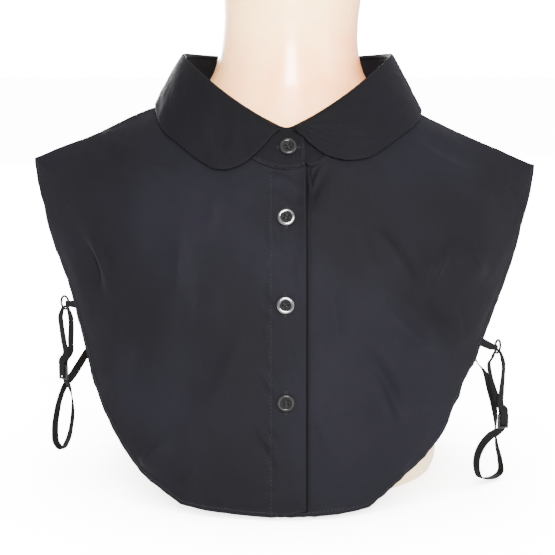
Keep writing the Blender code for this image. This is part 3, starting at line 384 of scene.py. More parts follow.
# Slack of each strap: down from the slider, round its hanging loop, across behind itself and on to the back
STRAP_SLACK = {
    RIGHT: [
        (-0.1651, -0.0345, 0.0709, -48, 0, 1.0),
        (-0.1632, -0.0330, 0.0628, -78, 0, 1.0),
        (-0.1627, -0.0320, 0.0501, -106, 0, 1.0),
        (-0.1644, -0.0305, 0.0373, -115, 0, 1.0),
        (-0.1681, -0.0270, 0.0253, -130, 0, 1.0),
        (-0.1732, -0.0225, 0.0181, -135, 0, 1.0),
        (-0.1774, -0.0190, 0.0215, -135, 0, 1.0),
        (-0.1785, -0.0175, 0.0313, -135, 0, 1.0),
        (-0.1769, -0.0170, 0.0446, -132, 0, 1.0),
        (-0.1739, -0.0165, 0.0570, -128, 0, 1.0),
        (-0.1696, -0.0155, 0.0670, -135, 10, 1.0),
        (-0.1646, -0.0115, 0.0735, -155, 24, 1.0),
        (-0.1600, -0.0010, 0.0804, -165, 40, 1.0),
        (-0.1554, 0.0140, 0.0873, -165, 62, 1.0),
    ],
    LEFT: [
        (0.1555, -0.0540, 0.0406, 12, 0, 1.0),
        (0.1506, -0.0555, 0.0384, -8, 0, 1.0),
        (0.1443, -0.0570, 0.0323, -28, 0, 1.0),
        (0.1400, -0.0575, 0.0232, -40, 0, 1.0),
        (0.1394, -0.0570, 0.0139, -45, 0, 1.0),
        (0.1421, -0.0550, 0.0059, -45, 0, 1.0),
        (0.1485, -0.0500, 0.0030, -45, 0, 1.0),
        (0.1557, -0.0440, 0.0030, -46, 0, 1.0),
        (0.1599, -0.0390, 0.0053, -52, 0, 1.0),
        (0.1595, -0.0370, 0.0141, -58, 0, 1.0),
        (0.1572, -0.0365, 0.0241, -70, 0, 1.0),
        (0.1560, -0.0360, 0.0341, -94, 0, 1.0),
        (0.1557, -0.0350, 0.0447, -122, 0, 1.0),
        (0.1545, -0.0320, 0.0556, -148, 4, 1.0),
        (0.1521, -0.0260, 0.0657, -152, 12, 1.0),
        (0.1507, -0.0140, 0.0741, -150, 24, 1.0),
        (0.1473, 0.0080, 0.0775, -140, 46, 1.0),
    ],
}

# Cloth and its sewing
CLOTH = 0.00070
COLLAR_CLOTH = 0.00120
LEAF_CLOTH = 0.00110
PANEL_GRID = (176, 150)
BACK_GRID = (150, 196)
STAND_GRID = (26, 240)
STAND_RISE = 0.0034
STAND_RISE_TURNS = (3.7, 4.8)
LEAF_GRID = (74, 470)
HEM_WIDTH = 0.0036
HEM_RISE = 0.00035
PLACKET_WIDTH = 0.0250
PLACKET_RISE = 0.00035
STITCH_LENGTH = 0.0021
STITCH_PITCH = 0.0027
STITCH_RADIUS = 0.00014
SEAM_GROOVE = 0.00045

# Sharper creases within the folds, and small ones at the sewing
# Arch of a strap over its ring's wire, and the waves of the left front's edge
RING_ARCH = [
    # up, aside, share of its width
    (-0.0014, -0.0031, 0.80),
    (0.0011, -0.0018, PINCH),
    (0.0021, 0.0, PINCH),
    (0.0011, 0.0018, PINCH),
    (-0.0014, 0.0031, 0.80),
]
EDGE_WAVES = [
    # height, out, spread
    (0.0740, 0.0014, 0.0050),
    (0.0570, 0.0008, 0.0045),
    (0.0990, 0.0007, 0.0050),
]

FRONT_CREASES = [
    # start_x, start_z, end_x, end_z, width, height, bow
    (0.060, 0.197, 0.086, 0.153, 0.0034, 0.0013, 0.003),
    (0.048, 0.205, 0.062, 0.170, 0.0040, 0.0006, -0.002),
    (0.0122, 0.221, 0.0220, 0.244, 0.0026, 0.0013, 0.001),
    (0.070, 0.141, 0.101, 0.114, 0.0032, 0.0012, -0.002),
    (0.050, 0.120, 0.080, 0.066, 0.0040, -0.0012, 0.004),
    (0.060, 0.098, 0.074, 0.060, 0.0034, 0.0007, 0.002),
    (0.100, 0.160, 0.113, 0.186, 0.0028, 0.0013, 0.002),
    (0.113, 0.186, 0.141, 0.161, 0.0028, 0.0011, 0.002),
    (0.094, 0.148, 0.116, 0.114, 0.0030, -0.0011, 0.002),
    (0.112, 0.142, 0.124, 0.118, 0.0026, 0.0008, 0.001),
    (0.026, 0.160, 0.034, 0.118, 0.0040, 0.0005, 0.002),
    (0.020, 0.080, 0.034, 0.040, 0.0042, 0.0006, -0.003),
    (0.126, 0.226, 0.150, 0.205, 0.0040, 0.0006, 0.002),
    (0.100, 0.250, 0.140, 0.232, 0.0036, 0.0007, -0.003),
    (0.095, 0.258, 0.128, 0.247, 0.0034, -0.0005, -0.002),
    (-0.075, 0.191, -0.079, 0.152, 0.0034, 0.0011, 0.002),
    (-0.066, 0.182, -0.070, 0.140, 0.0036, 0.0005, -0.002),
    (-0.150, 0.185, -0.138, 0.152, 0.0032, -0.0013, 0.002),
    (-0.141, 0.184, -0.130, 0.158, 0.0030, 0.0009, 0.002),
    (-0.137, 0.261, -0.088, 0.238, 0.0030, 0.0009, -0.004),
    (-0.128, 0.252, -0.086, 0.240, 0.0028, -0.0007, -0.003),
    (-0.145, 0.246, -0.110, 0.236, 0.0032, 0.0006, -0.002),
    (-0.104, 0.031, -0.086, 0.049, 0.0030, 0.0012, 0.002),
    (-0.080, 0.018, -0.066, 0.034, 0.0032, 0.0007, -0.002),
    (-0.034, 0.126, -0.054, 0.084, 0.0044, 0.0006, 0.003),
    (-0.112, 0.124, -0.120, 0.094, 0.0036, 0.0005, 0.002),
    (-0.052, 0.222, -0.060, 0.196, 0.0042, 0.0004, 0.002),
]
PLACKET_CREASES = [
    (-0.016, 0.201, -0.010, 0.186, 0.0022, 0.0008, 0.001),
    (-0.020, 0.160, -0.012, 0.146, 0.0022, -0.0008, 0.001),
    (-0.019, 0.150, -0.011, 0.138, 0.0020, 0.0008, 0.001),
    (-0.018, 0.137, -0.012, 0.128, 0.0020, 0.0006, -0.001),
    (-0.021, 0.104, -0.011, 0.092, 0.0022, 0.0009, 0.001),
    (-0.018, 0.092, -0.011, 0.084, 0.0020, -0.0006, 0.001),
    (-0.021, 0.066, -0.012, 0.052, 0.0022, 0.0009, -0.001),
    (-0.019, 0.052, -0.011, 0.036, 0.0024, -0.0007, 0.001),
    (-0.012, 0.236, 0.009, 0.226, 0.0022, 0.0007, 0.001),
    (-0.013, 0.230, 0.008, 0.219, 0.0020, -0.0006, 0.001),
    (-0.010, 0.222, 0.009, 0.213, 0.0018, 0.0005, -0.001),
    (0.004, 0.180, 0.008, 0.158, 0.0022, 0.0004, 0.001),
    (0.003, 0.128, 0.008, 0.108, 0.0022, 0.0004, -0.001),
]
BACK_CREASES = [
    (-0.071, 0.198, -0.093, 0.144, 0.0036, 0.0012, 0.003),
    (-0.042, 0.116, -0.060, 0.054, 0.0040, 0.0009, -0.003),
    (0.031, 0.146, 0.047, 0.074, 0.0040, 0.0011, 0.003),
    (0.086, 0.203, 0.110, 0.163, 0.0034, 0.0012, 0.002),
    (0.099, 0.108, 0.072, 0.063, 0.0036, -0.0010, 0.002),
    (-0.119, 0.168, -0.106, 0.113, 0.0034, -0.0011, -0.002),
    (0.010, 0.245, 0.050, 0.232, 0.0036, 0.0006, -0.003),
    (-0.052, 0.246, -0.014, 0.236, 0.0036, 0.0006, -0.003),
    (-0.012, 0.060, 0.004, 0.024, 0.0044, 0.0006, 0.002),
]

BUTTONHOLE = 0.0155
BUTTON_LIFT = 0.0004
BUTTON_HOLES = 0.00120
BUTTON_RUBBED = (0.66, 0.30, 0.0, 0.70)
BUTTON_SPINS = (24, -12, 40, 8)
BUTTON_TURNING = [
    # radius, height
    (0.00495, 0.0002),
    (0.00570, 0.0004),
    (0.00615, 0.0008),
    (0.00625, 0.0013),
    (0.00612, 0.0017),
    (0.00580, 0.0021),
    (0.00545, 0.0024),
    (0.00515, 0.0025),
    (0.00415, 0.0025),
    (0.00392, 0.0024),
    (0.00378, 0.0021),
    (0.00365, 0.0017),
    (0.00335, 0.0015),
    (0.00200, 0.00142),
]
BUTTON_DISH = 0.0039
STRAP_RIBS = 9

# Flat cut of each cloth piece: width and length, area, how it is held, and what it lies on
CUTS = {
    "front_right": ((0.225, 0.300), 0.0510, "hung", ["bust"]),
    "front_left": ((0.225, 0.300), 0.0505, "hung", ["bust"]),
    "back": ((0.420, 0.300), 0.0950, "hung", ["bust"]),
    "collar_stand": ((0.460, 0.032), 0.0135, "draped", ["front_right", "front_left", "back"]),
    "collar_leaf": ((0.470, 0.075), 0.0265, "folded", ["collar_stand", "front_right", "front_left", "back"]),
}

POPLIN_DARK = (0.0019, 0.0018, 0.0025, 1)
POPLIN_PALE = (0.0036, 0.0034, 0.0047, 1)
POPLIN_BLOOM = (0.0052, 0.0047, 0.0080, 1)
# Painted shade: the collar's cloth is the same poplin with its colours scaled down by this share
COLLAR_PAINTED_SHADE = 0.62
POPLIN_SHEEN = 0.008
POPLIN_SHINE = 0.06
PLASTIC_DEEP = (0.98, 0.36, 0.13, 1)
PLASTIC_PALE = (1.0, 0.64, 0.27, 1)
PLASTIC_LOW = (0.80, 0.62, 0.33, 1)

WORLD_LIGHT = 1.8
WORLD_SHOWN = 17.0
FLOOR_GLOW = 12.5
LIGHTS = [
    # name, place, aim, width, height, power, colour
    ("softbox", (0.12, -2.1, 1.02), (0, 0, 0.2), 0.60, 1.10, 228, (1.0, 0.99, 0.98)),
    ("side", (1.7, -0.9, 0.6), (0, 0, 0.2), 0.7, 1.0, 22, (1.0, 0.98, 0.96)),
    ("back", (-0.5, 2.2, 0.35), (0, 0, 0.15), 1.6, 0.6, 170, (1.0, 1.0, 1.0)),
]


# Curves and sections

def through(knots, values, at):
    """A smooth curve through the rows of a table, read at other places along it."""
    knots = np.asarray(knots, float)
    values = np.asarray(values, float).reshape(len(knots), -1)
    at = np.atleast_1d(np.asarray(at, float))
    slopes = np.gradient(values, knots, axis=0)
    row = np.clip(np.searchsorted(knots, at, side="right") - 1, 0, len(knots) - 2)
    span = (knots[row + 1] - knots[row])[:, None]
    t = (at - knots[row])[:, None] / span
    first = (1 + 2 * t) * (1 - t) ** 2 * values[row] + t * (1 - t) ** 2 * span * slopes[row]
    second = t * t * (3 - 2 * t) * values[row + 1] - t * t * (1 - t) * span * slopes[row + 1]
    return first + second


def along(points, parts):
    """Places at the given parts of the length of a smooth curve through points."""
    points = np.asarray(points, float)
    runs = np.linalg.norm(np.diff(points, axis=0), axis=1)
    knots = np.concatenate([[0], np.cumsum(runs)])
    return through(knots, points, np.asarray(parts) * knots[-1])


def smooth_step(value, low, high):
    t = np.clip((np.asarray(value, float) - low) / (high - low), 0, 1)
    return t * t * (3 - 2 * t)


def unit(vectors):
    return vectors / np.maximum(np.linalg.norm(vectors, axis=-1, keepdims=True), 1e-12)


def collar_line(table, degrees):
    """Points of the neckline or the fold line at signed turns from the front."""
    degrees = np.atleast_1d(np.asarray(degrees, float))
    turn = (degrees + 180) % 360 - 180
    table = np.asarray(table)
    mirrored = table[1:] * (-1, -1, 1, 1)
    whole = np.concatenate([mirrored[::-1], table])
    points = through(whole[:, 0], whole[:, 1:], turn)
    points[:, 0] += COLLAR_MIDDLE * (0.5 + 0.5 * np.cos(np.radians(turn)))
    return points


def sheet_normals(grid):
    """Directions square to a grid of points, rows by columns, from the faces that meet at each point."""
    faces = np.cross(grid[1:, :-1] - grid[:-1, 1:], grid[1:, 1:] - grid[:-1, :-1])
    total = np.zeros_like(grid)
    for rows in (slice(None, -1), slice(1, None)):
        for columns in (slice(None, -1), slice(1, None)):
            total[rows, columns] += faces
    return unit(total)


def outward_normals(grid):
    """Directions square to a grid of points, away from the bust's middle line."""
    return sheet_normals(grid) * (1 if faces_out(grid) else -1)


def faces_out(grid):
    """Whether the grid's faces, in its own order, point away from the bust's middle line."""
    away = grid - np.array([0, 0, 1]) * grid[..., 2:3]
    return (sheet_normals(grid) * away).sum() > 0


def sheet_faces(rows, columns, start=0, turned=False):
    faces = []
    for i in range(rows - 1):
        for j in range(columns - 1):
            a = start + i * columns + j
            face = (a, a + columns, a + columns + 1, a + 1)
            faces.append(face[::-1] if turned else face)
    return faces


def bust_ring(height, sides):
    """One level section: the body and the shoulder bar, blended where they meet."""
    table = np.asarray(BUST_SECTIONS)
    half, front, back, bar_half, bar_depth = through(table[:, 0], table[:, 1:], height)[0]
    turn = np.linspace(0, 2 * math.pi, sides, endpoint=False)
    cos, sin = np.cos(turn), np.sin(turn)
    depth = np.where(sin < 0, front, back)
    body = 1 / np.sqrt((cos / half) ** 2 + (sin / depth) ** 2)
    bar = 1 / np.sqrt((cos / bar_half) ** 2 + (sin / bar_depth) ** 2)
    reach = (body ** BAR_BLEND + bar ** BAR_BLEND) ** (1 / BAR_BLEND)
    return np.stack([reach * cos, reach * sin, np.full(sides, height)], axis=1)


def bust_tree():
    """A fine surface of the bust, that the cloth is kept off."""
    sides = 3 * BUST_SIDES
    heights = np.linspace(BUST_SECTIONS[0][0], BUST_SECTIONS[-1][0], 150)
    points = np.concatenate([bust_ring(height, sides) for height in heights])
    faces = []
    for level in range(len(heights) - 1):
        for j in range(sides):
            a, b = level * sides + j, level * sides + (j + 1) % sides
            faces.append((a, b, b + sides, a + sides))
    return BVHTree.FromPolygons(points.tolist(), faces)


def keep_off(points, tree, gap, pinned=None):
    """Moves points that are nearer than gap to a surface, or behind it, out to the gap."""
    flat = points.reshape(-1, 3).copy()
    for k, point in enumerate(flat):
        if pinned is not None and pinned.reshape(-1)[k]:
            continue
        place, normal, _, _ = tree.find_nearest(Vector(point))
        if place is None:
            continue
        if (Vector(point) - place).dot(normal) < gap:
            flat[k] = place + normal * gap
    return flat.reshape(points.shape)


# Panels

def level_section(centre, edge, turn, xs):
    """A section of a worn panel: flat across the middle, turned back by the given angle at its side edge."""
    turn = math.radians(turn)
    part = np.arcsin(np.clip(np.abs(xs) / abs(edge[0]), 0, 1) * math.sin(turn)) / turn
    back = (np.cos(turn * part) - math.cos(turn)) / (1 - math.cos(turn))
    y = edge[1] + (centre[1] - edge[1]) * back
    z = centre[2] + (edge[2] - centre[2]) * part ** HEM_CURVE
    return np.stack([xs, y, z], axis=1)


def patch(bottom, top, inner, outer, share):
    """A sheet between four edge curves that meet at their ends, its columns at the given shares."""
    s = share[None, :, None]
    w = np.linspace(0, 1, inner.shape[0])[:, None, None]
    level = (1 - w) * bottom[None] + w * top[None]
    upright = (1 - s) * inner[:, None] + s * outer[:, None]
    corners = (1 - w) * ((1 - s) * bottom[0] + s * bottom[-1]) + w * ((1 - s) * top[0] + s * top[-1])
    return level + upright - corners


def eased(grid, rounds, pinned):
    """The grid with its unpinned points drawn towards the mean of their neighbours."""
    grid = grid.copy()
    free = ~pinned[1:-1, 1:-1]
    for _ in range(rounds):
        mean = (grid[:-2, 1:-1] + grid[2:, 1:-1] + grid[1:-1, :-2] + grid[1:-1, 2:]) / 4
        grid[1:-1, 1:-1][free] = mean[free]
    return grid


# Cloth meshes

def spread(count, crowd):
    """Even steps from 0 to 1, closer together at both ends."""
    t = np.linspace(0, 1, count)
    return t - crowd * np.sin(2 * math.pi * t) / (2 * math.pi)


def finer(grid, rows, columns, corners=()):
    """The sheet with more rows and columns, smooth between them and sharp at the corners of its edge."""
    count_rows, count_columns = grid.shape[:2]
    flat = grid.reshape(count_rows, -1)
    index = np.arange(count_rows)
    share = np.linspace(0, 1, count_columns)
    fine = through(index, flat, rows).reshape(len(rows), count_columns, 3)
    for row, end in corners:
        low = rows <= row
        broken = np.concatenate([
            through(index[:row + 1], flat[:row + 1], rows[low]),
            through(index[row:], flat[row:], rows[~low]),
        ]).reshape(fine.shape)
        near = (share if end else 1 - share)[None, :, None] ** 8
        fine = fine + (broken - fine) * near
    turned = fine.transpose(1, 0, 2).reshape(count_columns, -1)
    turned = through(np.arange(count_columns), turned, columns)
    return turned.reshape(len(columns), len(rows), 3).transpose(1, 0, 2)


def dense(line, times=4):
    """A line of points with more points between them."""
    line = np.asarray(line)
    at = np.linspace(0, len(line) - 1, times * (len(line) - 1) + 1)
    return np.stack([np.interp(at, np.arange(len(line)), line[:, k]) for k in range(3)], axis=1)


def gap_to(points, *lines):
    """How far each point is from the nearest of some lines of points."""
    line = np.concatenate([dense(line) for line in lines])
    tree = KDTree(len(line))
    for k, place in enumerate(line):
        tree.insert(Vector(place), k)
    tree.balance()
    return np.array([tree.find(Vector(point))[2] for point in points.reshape(-1, 3)]).reshape(points.shape[:-1])


def fold_height(grid, folds):
    """Height of the large folds at each point of a panel."""
    flat = grid[..., [0, 2]]
    height = np.zeros(grid.shape[:2])
    for start_x, start_z, end_x, end_z, width, rise in folds:
        start, run = np.array([start_x, start_z]), np.array([end_x - start_x, end_z - start_z])
        part = np.clip(((flat - start) @ run) / (run @ run), 0, 1)
        away = np.linalg.norm(flat - start - part[..., None] * run, axis=-1)
        height += rise * np.exp(-(away / width) ** 2) * (0.35 + 0.65 * np.sin(math.pi * part))
    return height


def crease_height(grid, creases):
    """Height of the sharper creases: a curved ridge with a shallow trough beside it."""
    flat = grid[..., [0, 2]]
    height = np.zeros(grid.shape[:2])
    for start_x, start_z, end_x, end_z, width, rise, bow in creases:
        start, run = np.array([start_x, start_z]), np.array([end_x - start_x, end_z - start_z])
        length = math.hypot(*run)
        part = ((flat - start) @ run) / length ** 2
        held = np.clip(part, 0, 1)
        away = (flat - start) @ np.array([-run[1], run[0]]) / length - bow * 4 * held * (1 - held)
        beyond = (part - held) * length
        ridge = np.exp(-(away ** 2 + beyond ** 2) / width ** 2)
        trough = np.exp(-((away - 1.8 * width) ** 2 + beyond ** 2) / (1.3 * width) ** 2)
        height += rise * (ridge - 0.45 * trough) * (0.25 + 0.75 * np.sin(math.pi * held))
    return height


def unevenness(across, up, count, shortest, longest, seed):
    """The slow, random unevenness of a worn sheet, about 1 high."""
    random = np.random.default_rng(seed)
    height = 0.0
    for _ in range(count):
        turn, start = random.uniform(0, math.pi), random.uniform(0, 2 * math.pi)
        wave = random.uniform(shortest, longest)
        height = height + np.sin(2 * math.pi * (across * math.cos(turn) + up * math.sin(turn)) / wave + start)
    return height / math.sqrt(count)


def measured(grid):
    """Lengths along the rows and up the columns of a sheet, for its weave."""
    along_row = np.linalg.norm(np.diff(grid, axis=1), axis=-1)
    up_column = np.linalg.norm(np.diff(grid, axis=0), axis=-1)
    across = np.concatenate([np.zeros((grid.shape[0], 1)), np.cumsum(along_row, axis=1)], axis=1)
    up = np.concatenate([np.zeros((1, grid.shape[1])), np.cumsum(up_column, axis=0)], axis=0)
    return across, up


def mesh_piece(name, points, faces, look, weave=None, worn=None):
    """One object from points and faces, with the lengths of its weave as its UV map and its wear and painted shade as
    an attribute.
    """
    mesh = bpy.data.meshes.new(name)
    mesh.from_pydata(np.asarray(points, float).tolist(), [], faces)
    mesh.update()
    if weave is not None:
        corners = np.empty(len(mesh.loops), np.int32)
        mesh.loops.foreach_get("vertex_index", corners)
        layer = mesh.uv_layers.new(name="weave")
        layer.data.foreach_set("uv", np.asarray(weave, np.float32)[corners].ravel())
    if worn is not None:
        layer = mesh.attributes.new("worn", "FLOAT", "POINT")
        layer.data.foreach_set("value", np.asarray(worn, np.float32).ravel())
    mesh.shade_smooth()
    mesh.materials.append(look)
    made = bpy.data.objects.new(name, mesh)
    bpy.context.scene.collection.objects.link(made)
    return made


def cloth_piece(name, outer, wall, look, worn=None, edge=0.0003):
    """A thin shell under its outer face, with a rounded rim all round."""
    if not faces_out(outer):
        outer = outer[:, ::-1]
        wall = wall[:, ::-1] if isinstance(wall, np.ndarray) else wall
        worn = worn[:, ::-1] if worn is not None else None
    rows, columns = outer.shape[:2]
    count = rows * columns
    inner = outer - sheet_normals(outer) * (wall[..., None] if isinstance(wall, np.ndarray) else wall)
    rim = [(0, j, 1, j) for j in range(columns)]
    rim += [(i, columns - 1, i, columns - 2) for i in range(1, rows)]
    rim += [(rows - 1, j, rows - 2, j) for j in range(columns - 2, -1, -1)]
    rim += [(i, 0, i, 1) for i in range(rows - 2, 0, -1)]
    rim = np.array(rim)
    at, beside = (rim[:, 0], rim[:, 1]), (rim[:, 2], rim[:, 3])
    bulge = (outer[at] + inner[at]) / 2 + unit(outer[at] - outer[beside]) * edge
    points = np.concatenate([outer.reshape(-1, 3), inner.reshape(-1, 3), bulge])
    faces = sheet_faces(rows, columns) + sheet_faces(rows, columns, count, turned=True)
    flat = (rim[:, 0] * columns + rim[:, 1]).tolist()
    for k, a in enumerate(flat):
        nxt = (k + 1) % len(flat)
        b, m, n = flat[nxt], 2 * count + k, 2 * count + nxt
        faces += [(a, b, n, m), (m, n, b + count, a + count)]
    across, up = measured(outer)
    sheet = np.stack([across.ravel(), up.ravel()], axis=1)
    weave = np.concatenate([sheet, sheet, sheet[flat]])
    worn = np.zeros(count) if worn is None else worn.ravel()
    return mesh_piece(name, points, faces, look, weave, np.concatenate([worn, worn, worn[flat]]))


def where(field, grid, level, rows=True):
    """Where a value that is known over a sheet passes a level, once along each row or each column."""
    found = []
    if not rows:
        field, grid = field.T, grid.transpose(1, 0, 2)
    for values, line in zip(field, grid):
        low = np.nonzero((values[:-1] - level) * (values[1:] - level) <= 0)[0]
        if len(low):
            k = low[-1]
            part = (level - values[k]) / (values[k + 1] - values[k] or 1)
            found.append(line[k] + (line[k + 1] - line[k]) * part)
    return np.array(found)


def stitched(name, runs, surface, look, length=STITCH_LENGTH, pitch=STITCH_PITCH, crossways=False):
    """Thread along lines on a surface: short stitches, each sunk at its ends."""
    points, faces = [], []
    sides = 6
    turn = np.linspace(0, 2 * math.pi, sides, endpoint=False)
    for run in runs:
        steps = np.linalg.norm(np.diff(run, axis=0), axis=1)
        knots = np.concatenate([[0], np.cumsum(steps)])
        for at in np.arange(pitch / 2, knots[-1] - pitch / 2, pitch):
            middle, ahead = (np.array([np.interp(s, knots, run[:, k]) for k in range(3)]) for s in (at, at + 0.0004))
            place, normal, _, _ = surface.find_nearest(Vector(middle))
            if place is None:
                continue
            normal, way = np.array(normal), unit(ahead - middle)
            way = unit(way - normal * (way @ normal))
            aside = np.cross(normal, way)
            if crossways:
                way, aside = aside, -way
            middle = np.array(place) + normal * 0.00006
            start = len(points)
            for on, size, sink in ((-1, 0.45, -1.3), (-0.55, 1, 0), (0.55, 1, 0), (1, 0.45, -1.3)):
                ring = (aside * np.cos(turn)[:, None] + normal * np.sin(turn)[:, None]) * STITCH_RADIUS * size
                points.extend(middle + way * length / 2 * on + normal * STITCH_RADIUS * sink + ring)
            for ring in range(3):
                for j in range(sides):
                    a, b = start + ring * sides + j, start + ring * sides + (j + 1) % sides
                    faces.append((a, a + sides, b + sides, b))
            faces.append(tuple(range(start, start + sides)))
            faces.append(tuple(range(start + 4 * sides - 1, start + 3 * sides - 1, -1)))
    return mesh_piece(name, points, faces, look)


# Panels, as far as their coarse rows and columns

def shoulder_seam(side, tree):
    """The seam's points from tip to neck, kept off the bust, shared by the front and the back."""
    table = SHOULDER_SEAM_RIGHT if side == RIGHT else SHOULDER_SEAM_LEFT
    points = along(table, np.linspace(0, 1, YOKE_ROWS))
    return keep_off(points, tree, PANEL_WALL + SEAT_GAP)


def seam_shift(points, towards):
    """Half of the seam's gap, towards the front or the back."""
    return points + np.array([0, towards * SEAM_GAP / 2, 0])


def front_centre_edge(side, edge_x):
    """The yoke's inner edge: up the closing edge, then round the neckline to the shoulder seam."""
    upright = along([(edge_x, *row[::-1]) for row in CENTRE_FRONT[-2:]], np.linspace(0, 1, NECK_CORNER_ROW + 1))
    spread = np.linspace(0, 1, YOKE_ROWS - NECK_CORNER_ROW) ** NECK_CROWDING
    turns = side * (-STAND_OVERLAP + (NECK_END_TURN + STAND_OVERLAP) * spread)
    neck = collar_line(NECKLINE, turns)
    neck[0] = (edge_x, *neck[0, 1:])
    upright[-1] = neck[0]
    return np.concatenate([upright[:-1], neck])


def front_grid(side, tree):
    """One front's outer face before its folds, from hem to shoulder seam, closing edge to side edge."""
    edge_table = SIDE_EDGE_FRONT_RIGHT if side == RIGHT else SIDE_EDGE_FRONT_LEFT
    edge_x = PLACKET_EDGE if side == RIGHT else UNDERLAP_EDGE
    parts = np.linspace(0, 1, SIDE_ROWS) ** 1.08
    edge = along(edge_table, parts)
    lower = np.asarray(CENTRE_FRONT[:-1])
    heights = lower[0, 0] + (lower[-1, 0] - lower[0, 0]) * parts
    depths = through(lower[:, 0], lower[:, 1], heights)[:, 0]
    turns = through(*zip(*SECTION_TURN_FRONT), parts)[:, 0]
    share = np.linspace(0, 1, PANEL_COLUMNS)
    rows = []
    for k in range(SIDE_ROWS):
        xs = edge_x + (edge[k, 0] - edge_x) * share
        rows.append(level_section((0, depths[k], heights[k]), edge[k], turns[k], xs))
    rows = np.array(rows)
    seam = seam_shift(shoulder_seam(side, tree), -1)
    inner = front_centre_edge(side, edge_x)
    rows[-1, -1] = seam[0]
    inner[0] = rows[-1, 0]
    top = seam[-1] + (inner[-1] - seam[-1]) * (1 - share)[:, None]
    yoke = patch(rows[-1], top, inner, seam, share)
    grid = np.concatenate([rows, yoke[1:]])
    pinned = np.zeros(grid.shape[:2], bool)
    pinned[:, [0, -1]] = True
    pinned[[0, -1]] = True
    pinned[:SIDE_ROWS - 3] = True
    grid = eased(grid, 6, pinned)
    pinned[:SIDE_ROWS - 3] = False
    pinned[:, [0, -1]] = True
    grid = keep_off(grid, tree, PANEL_WALL + SEAT_GAP, pinned)
    return grid


def sunk_under(outer, over):
    """The left front's outer face, drawn in behind the right front along the closing."""
    over_tree = sheet_tree(over)
    ease = 1 - smooth_step(outer[..., 0], *UNDERLAP_EASE)
    normals = outward_normals(outer)
    for i, j in np.argwhere(ease > 0):
        x, _, z = outer[i, j]
        place, _, _, _ = over_tree.ray_cast(Vector((min(x, PLACKET_EDGE - 0.0002), -0.4, z)), Vector((0, 1, 0)))
        if place is not None and x < UNDERLAP_EASE[0]:
            outer[i, j, 1] = place.y
        sink = UNDERLAP_SINK + NECK_SINK * float(smooth_step(z, *NECK_SINK_FROM))
        outer[i, j] -= normals[i, j] * sink * ease[i, j]
        outer[i, j] -= unit(NECK_SLOPE) * NECK_DROP * float(smooth_step(z, *NECK_DROP_FROM)) * ease[i, j]
    return outer


def back_half(side, tree):
    """The outer face of half the back, from the centre to the side edge."""
    edge_table = np.asarray(SIDE_EDGE_BACK) * (side, 1, 1)
    seam = seam_shift(shoulder_seam(side, tree), 1)
    edge_table[-1] = seam[0]
    parts = np.linspace(0, 1, SIDE_ROWS)
    edge = along(edge_table, parts)
    lower = np.asarray(CENTRE_BACK[:-2])
    heights = lower[0, 0] + (lower[-1, 0] - lower[0, 0]) * parts
    depths = through(lower[:, 0], lower[:, 1], heights)[:, 0]
    turns = through(*zip(*SECTION_TURN_BACK), parts)[:, 0]
    share = 1 - np.linspace(1, 0, PANEL_COLUMNS) ** BACK_COLUMN_CROWDING
    rows = np.array([
        level_section((0, depths[k], heights[k]), edge[k], turns[k], edge[k, 0] * share)
        for k in range(SIDE_ROWS)
    ])
    upper = [(0, y, z) for z, y in CENTRE_BACK[-3:]]
    inner = along(upper, np.linspace(0, 1, YOKE_ROWS))
    top = collar_line(NECKLINE, side * (180 - NECK_END_TURN * share))
    top = top + (seam[-1] - top[-1]) * (share ** 6)[:, None]
    inner[-1] = top[0]
    inner[:, 0] = inner[-1, 0] * np.linspace(0, 1, YOKE_ROWS)
    yoke = patch(rows[-1], top, inner, seam, share)
    grid = np.concatenate([rows, yoke[1:]])
    pinned = np.zeros(grid.shape[:2], bool)
    pinned[:, [0, -1]] = True
    pinned[[0, -1]] = True
    pinned[:SIDE_ROWS - 2] = True
    grid = eased(grid, 4, pinned)
    pinned[:] = False
    pinned[-1] = True
    pinned[-YOKE_ROWS:, -1] = True
    return keep_off(grid, tree, PANEL_WALL + SEAT_GAP, pinned)


def collar_frame(turns):
    """Foot and fold of the collar at each turn, with the upright and the outward directions there."""
    foot = collar_line(NECKLINE, turns)
    crest = collar_line(FOLD_LINE, turns)
    upright = unit(crest - foot)
    level = unit(np.stack([foot[:, 0], foot[:, 1] + COLLAR_CENTRE_BACK, np.zeros(len(foot))], axis=1))
    outward = unit(level - upright * (level * upright).sum(axis=1, keepdims=True))
    return foot, crest, upright, outward, level


def laid_on(points, way, tree, gap):
    """Points drawn out along a direction until they clear a surface by the gap."""
    flat, ways = points.reshape(-1, 3).copy(), np.broadcast_to(way, points.shape).reshape(-1, 3)
    for k, (point, out) in enumerate(zip(flat, ways)):
        start = Vector(point + out * LAY_REACH)
        place, _, _, _ = tree.ray_cast(start, Vector(-out), 2 * LAY_REACH)
        if place is not None and (Vector(point) - place).dot(Vector(out)) < gap:
            flat[k] = np.array(place) + out * gap
    return flat.reshape(points.shape)


def leaf_turns():
    """Turns of the leaf's stations, close together at its two round ends."""
    table = np.asarray(LEAF_EDGE)
    first, last = table[LEAF_END_ROWS, 0], table[-1 - LEAF_END_ROWS, 0]
    middle = LEAF_STATIONS - 2 * LEAF_END_STATIONS
    return np.concatenate([
        np.linspace(table[0, 0], first, LEAF_END_STATIONS, endpoint=False),
        np.linspace(first, last, middle, endpoint=False),
        np.linspace(last, table[-1, 0], LEAF_END_STATIONS),
    ])


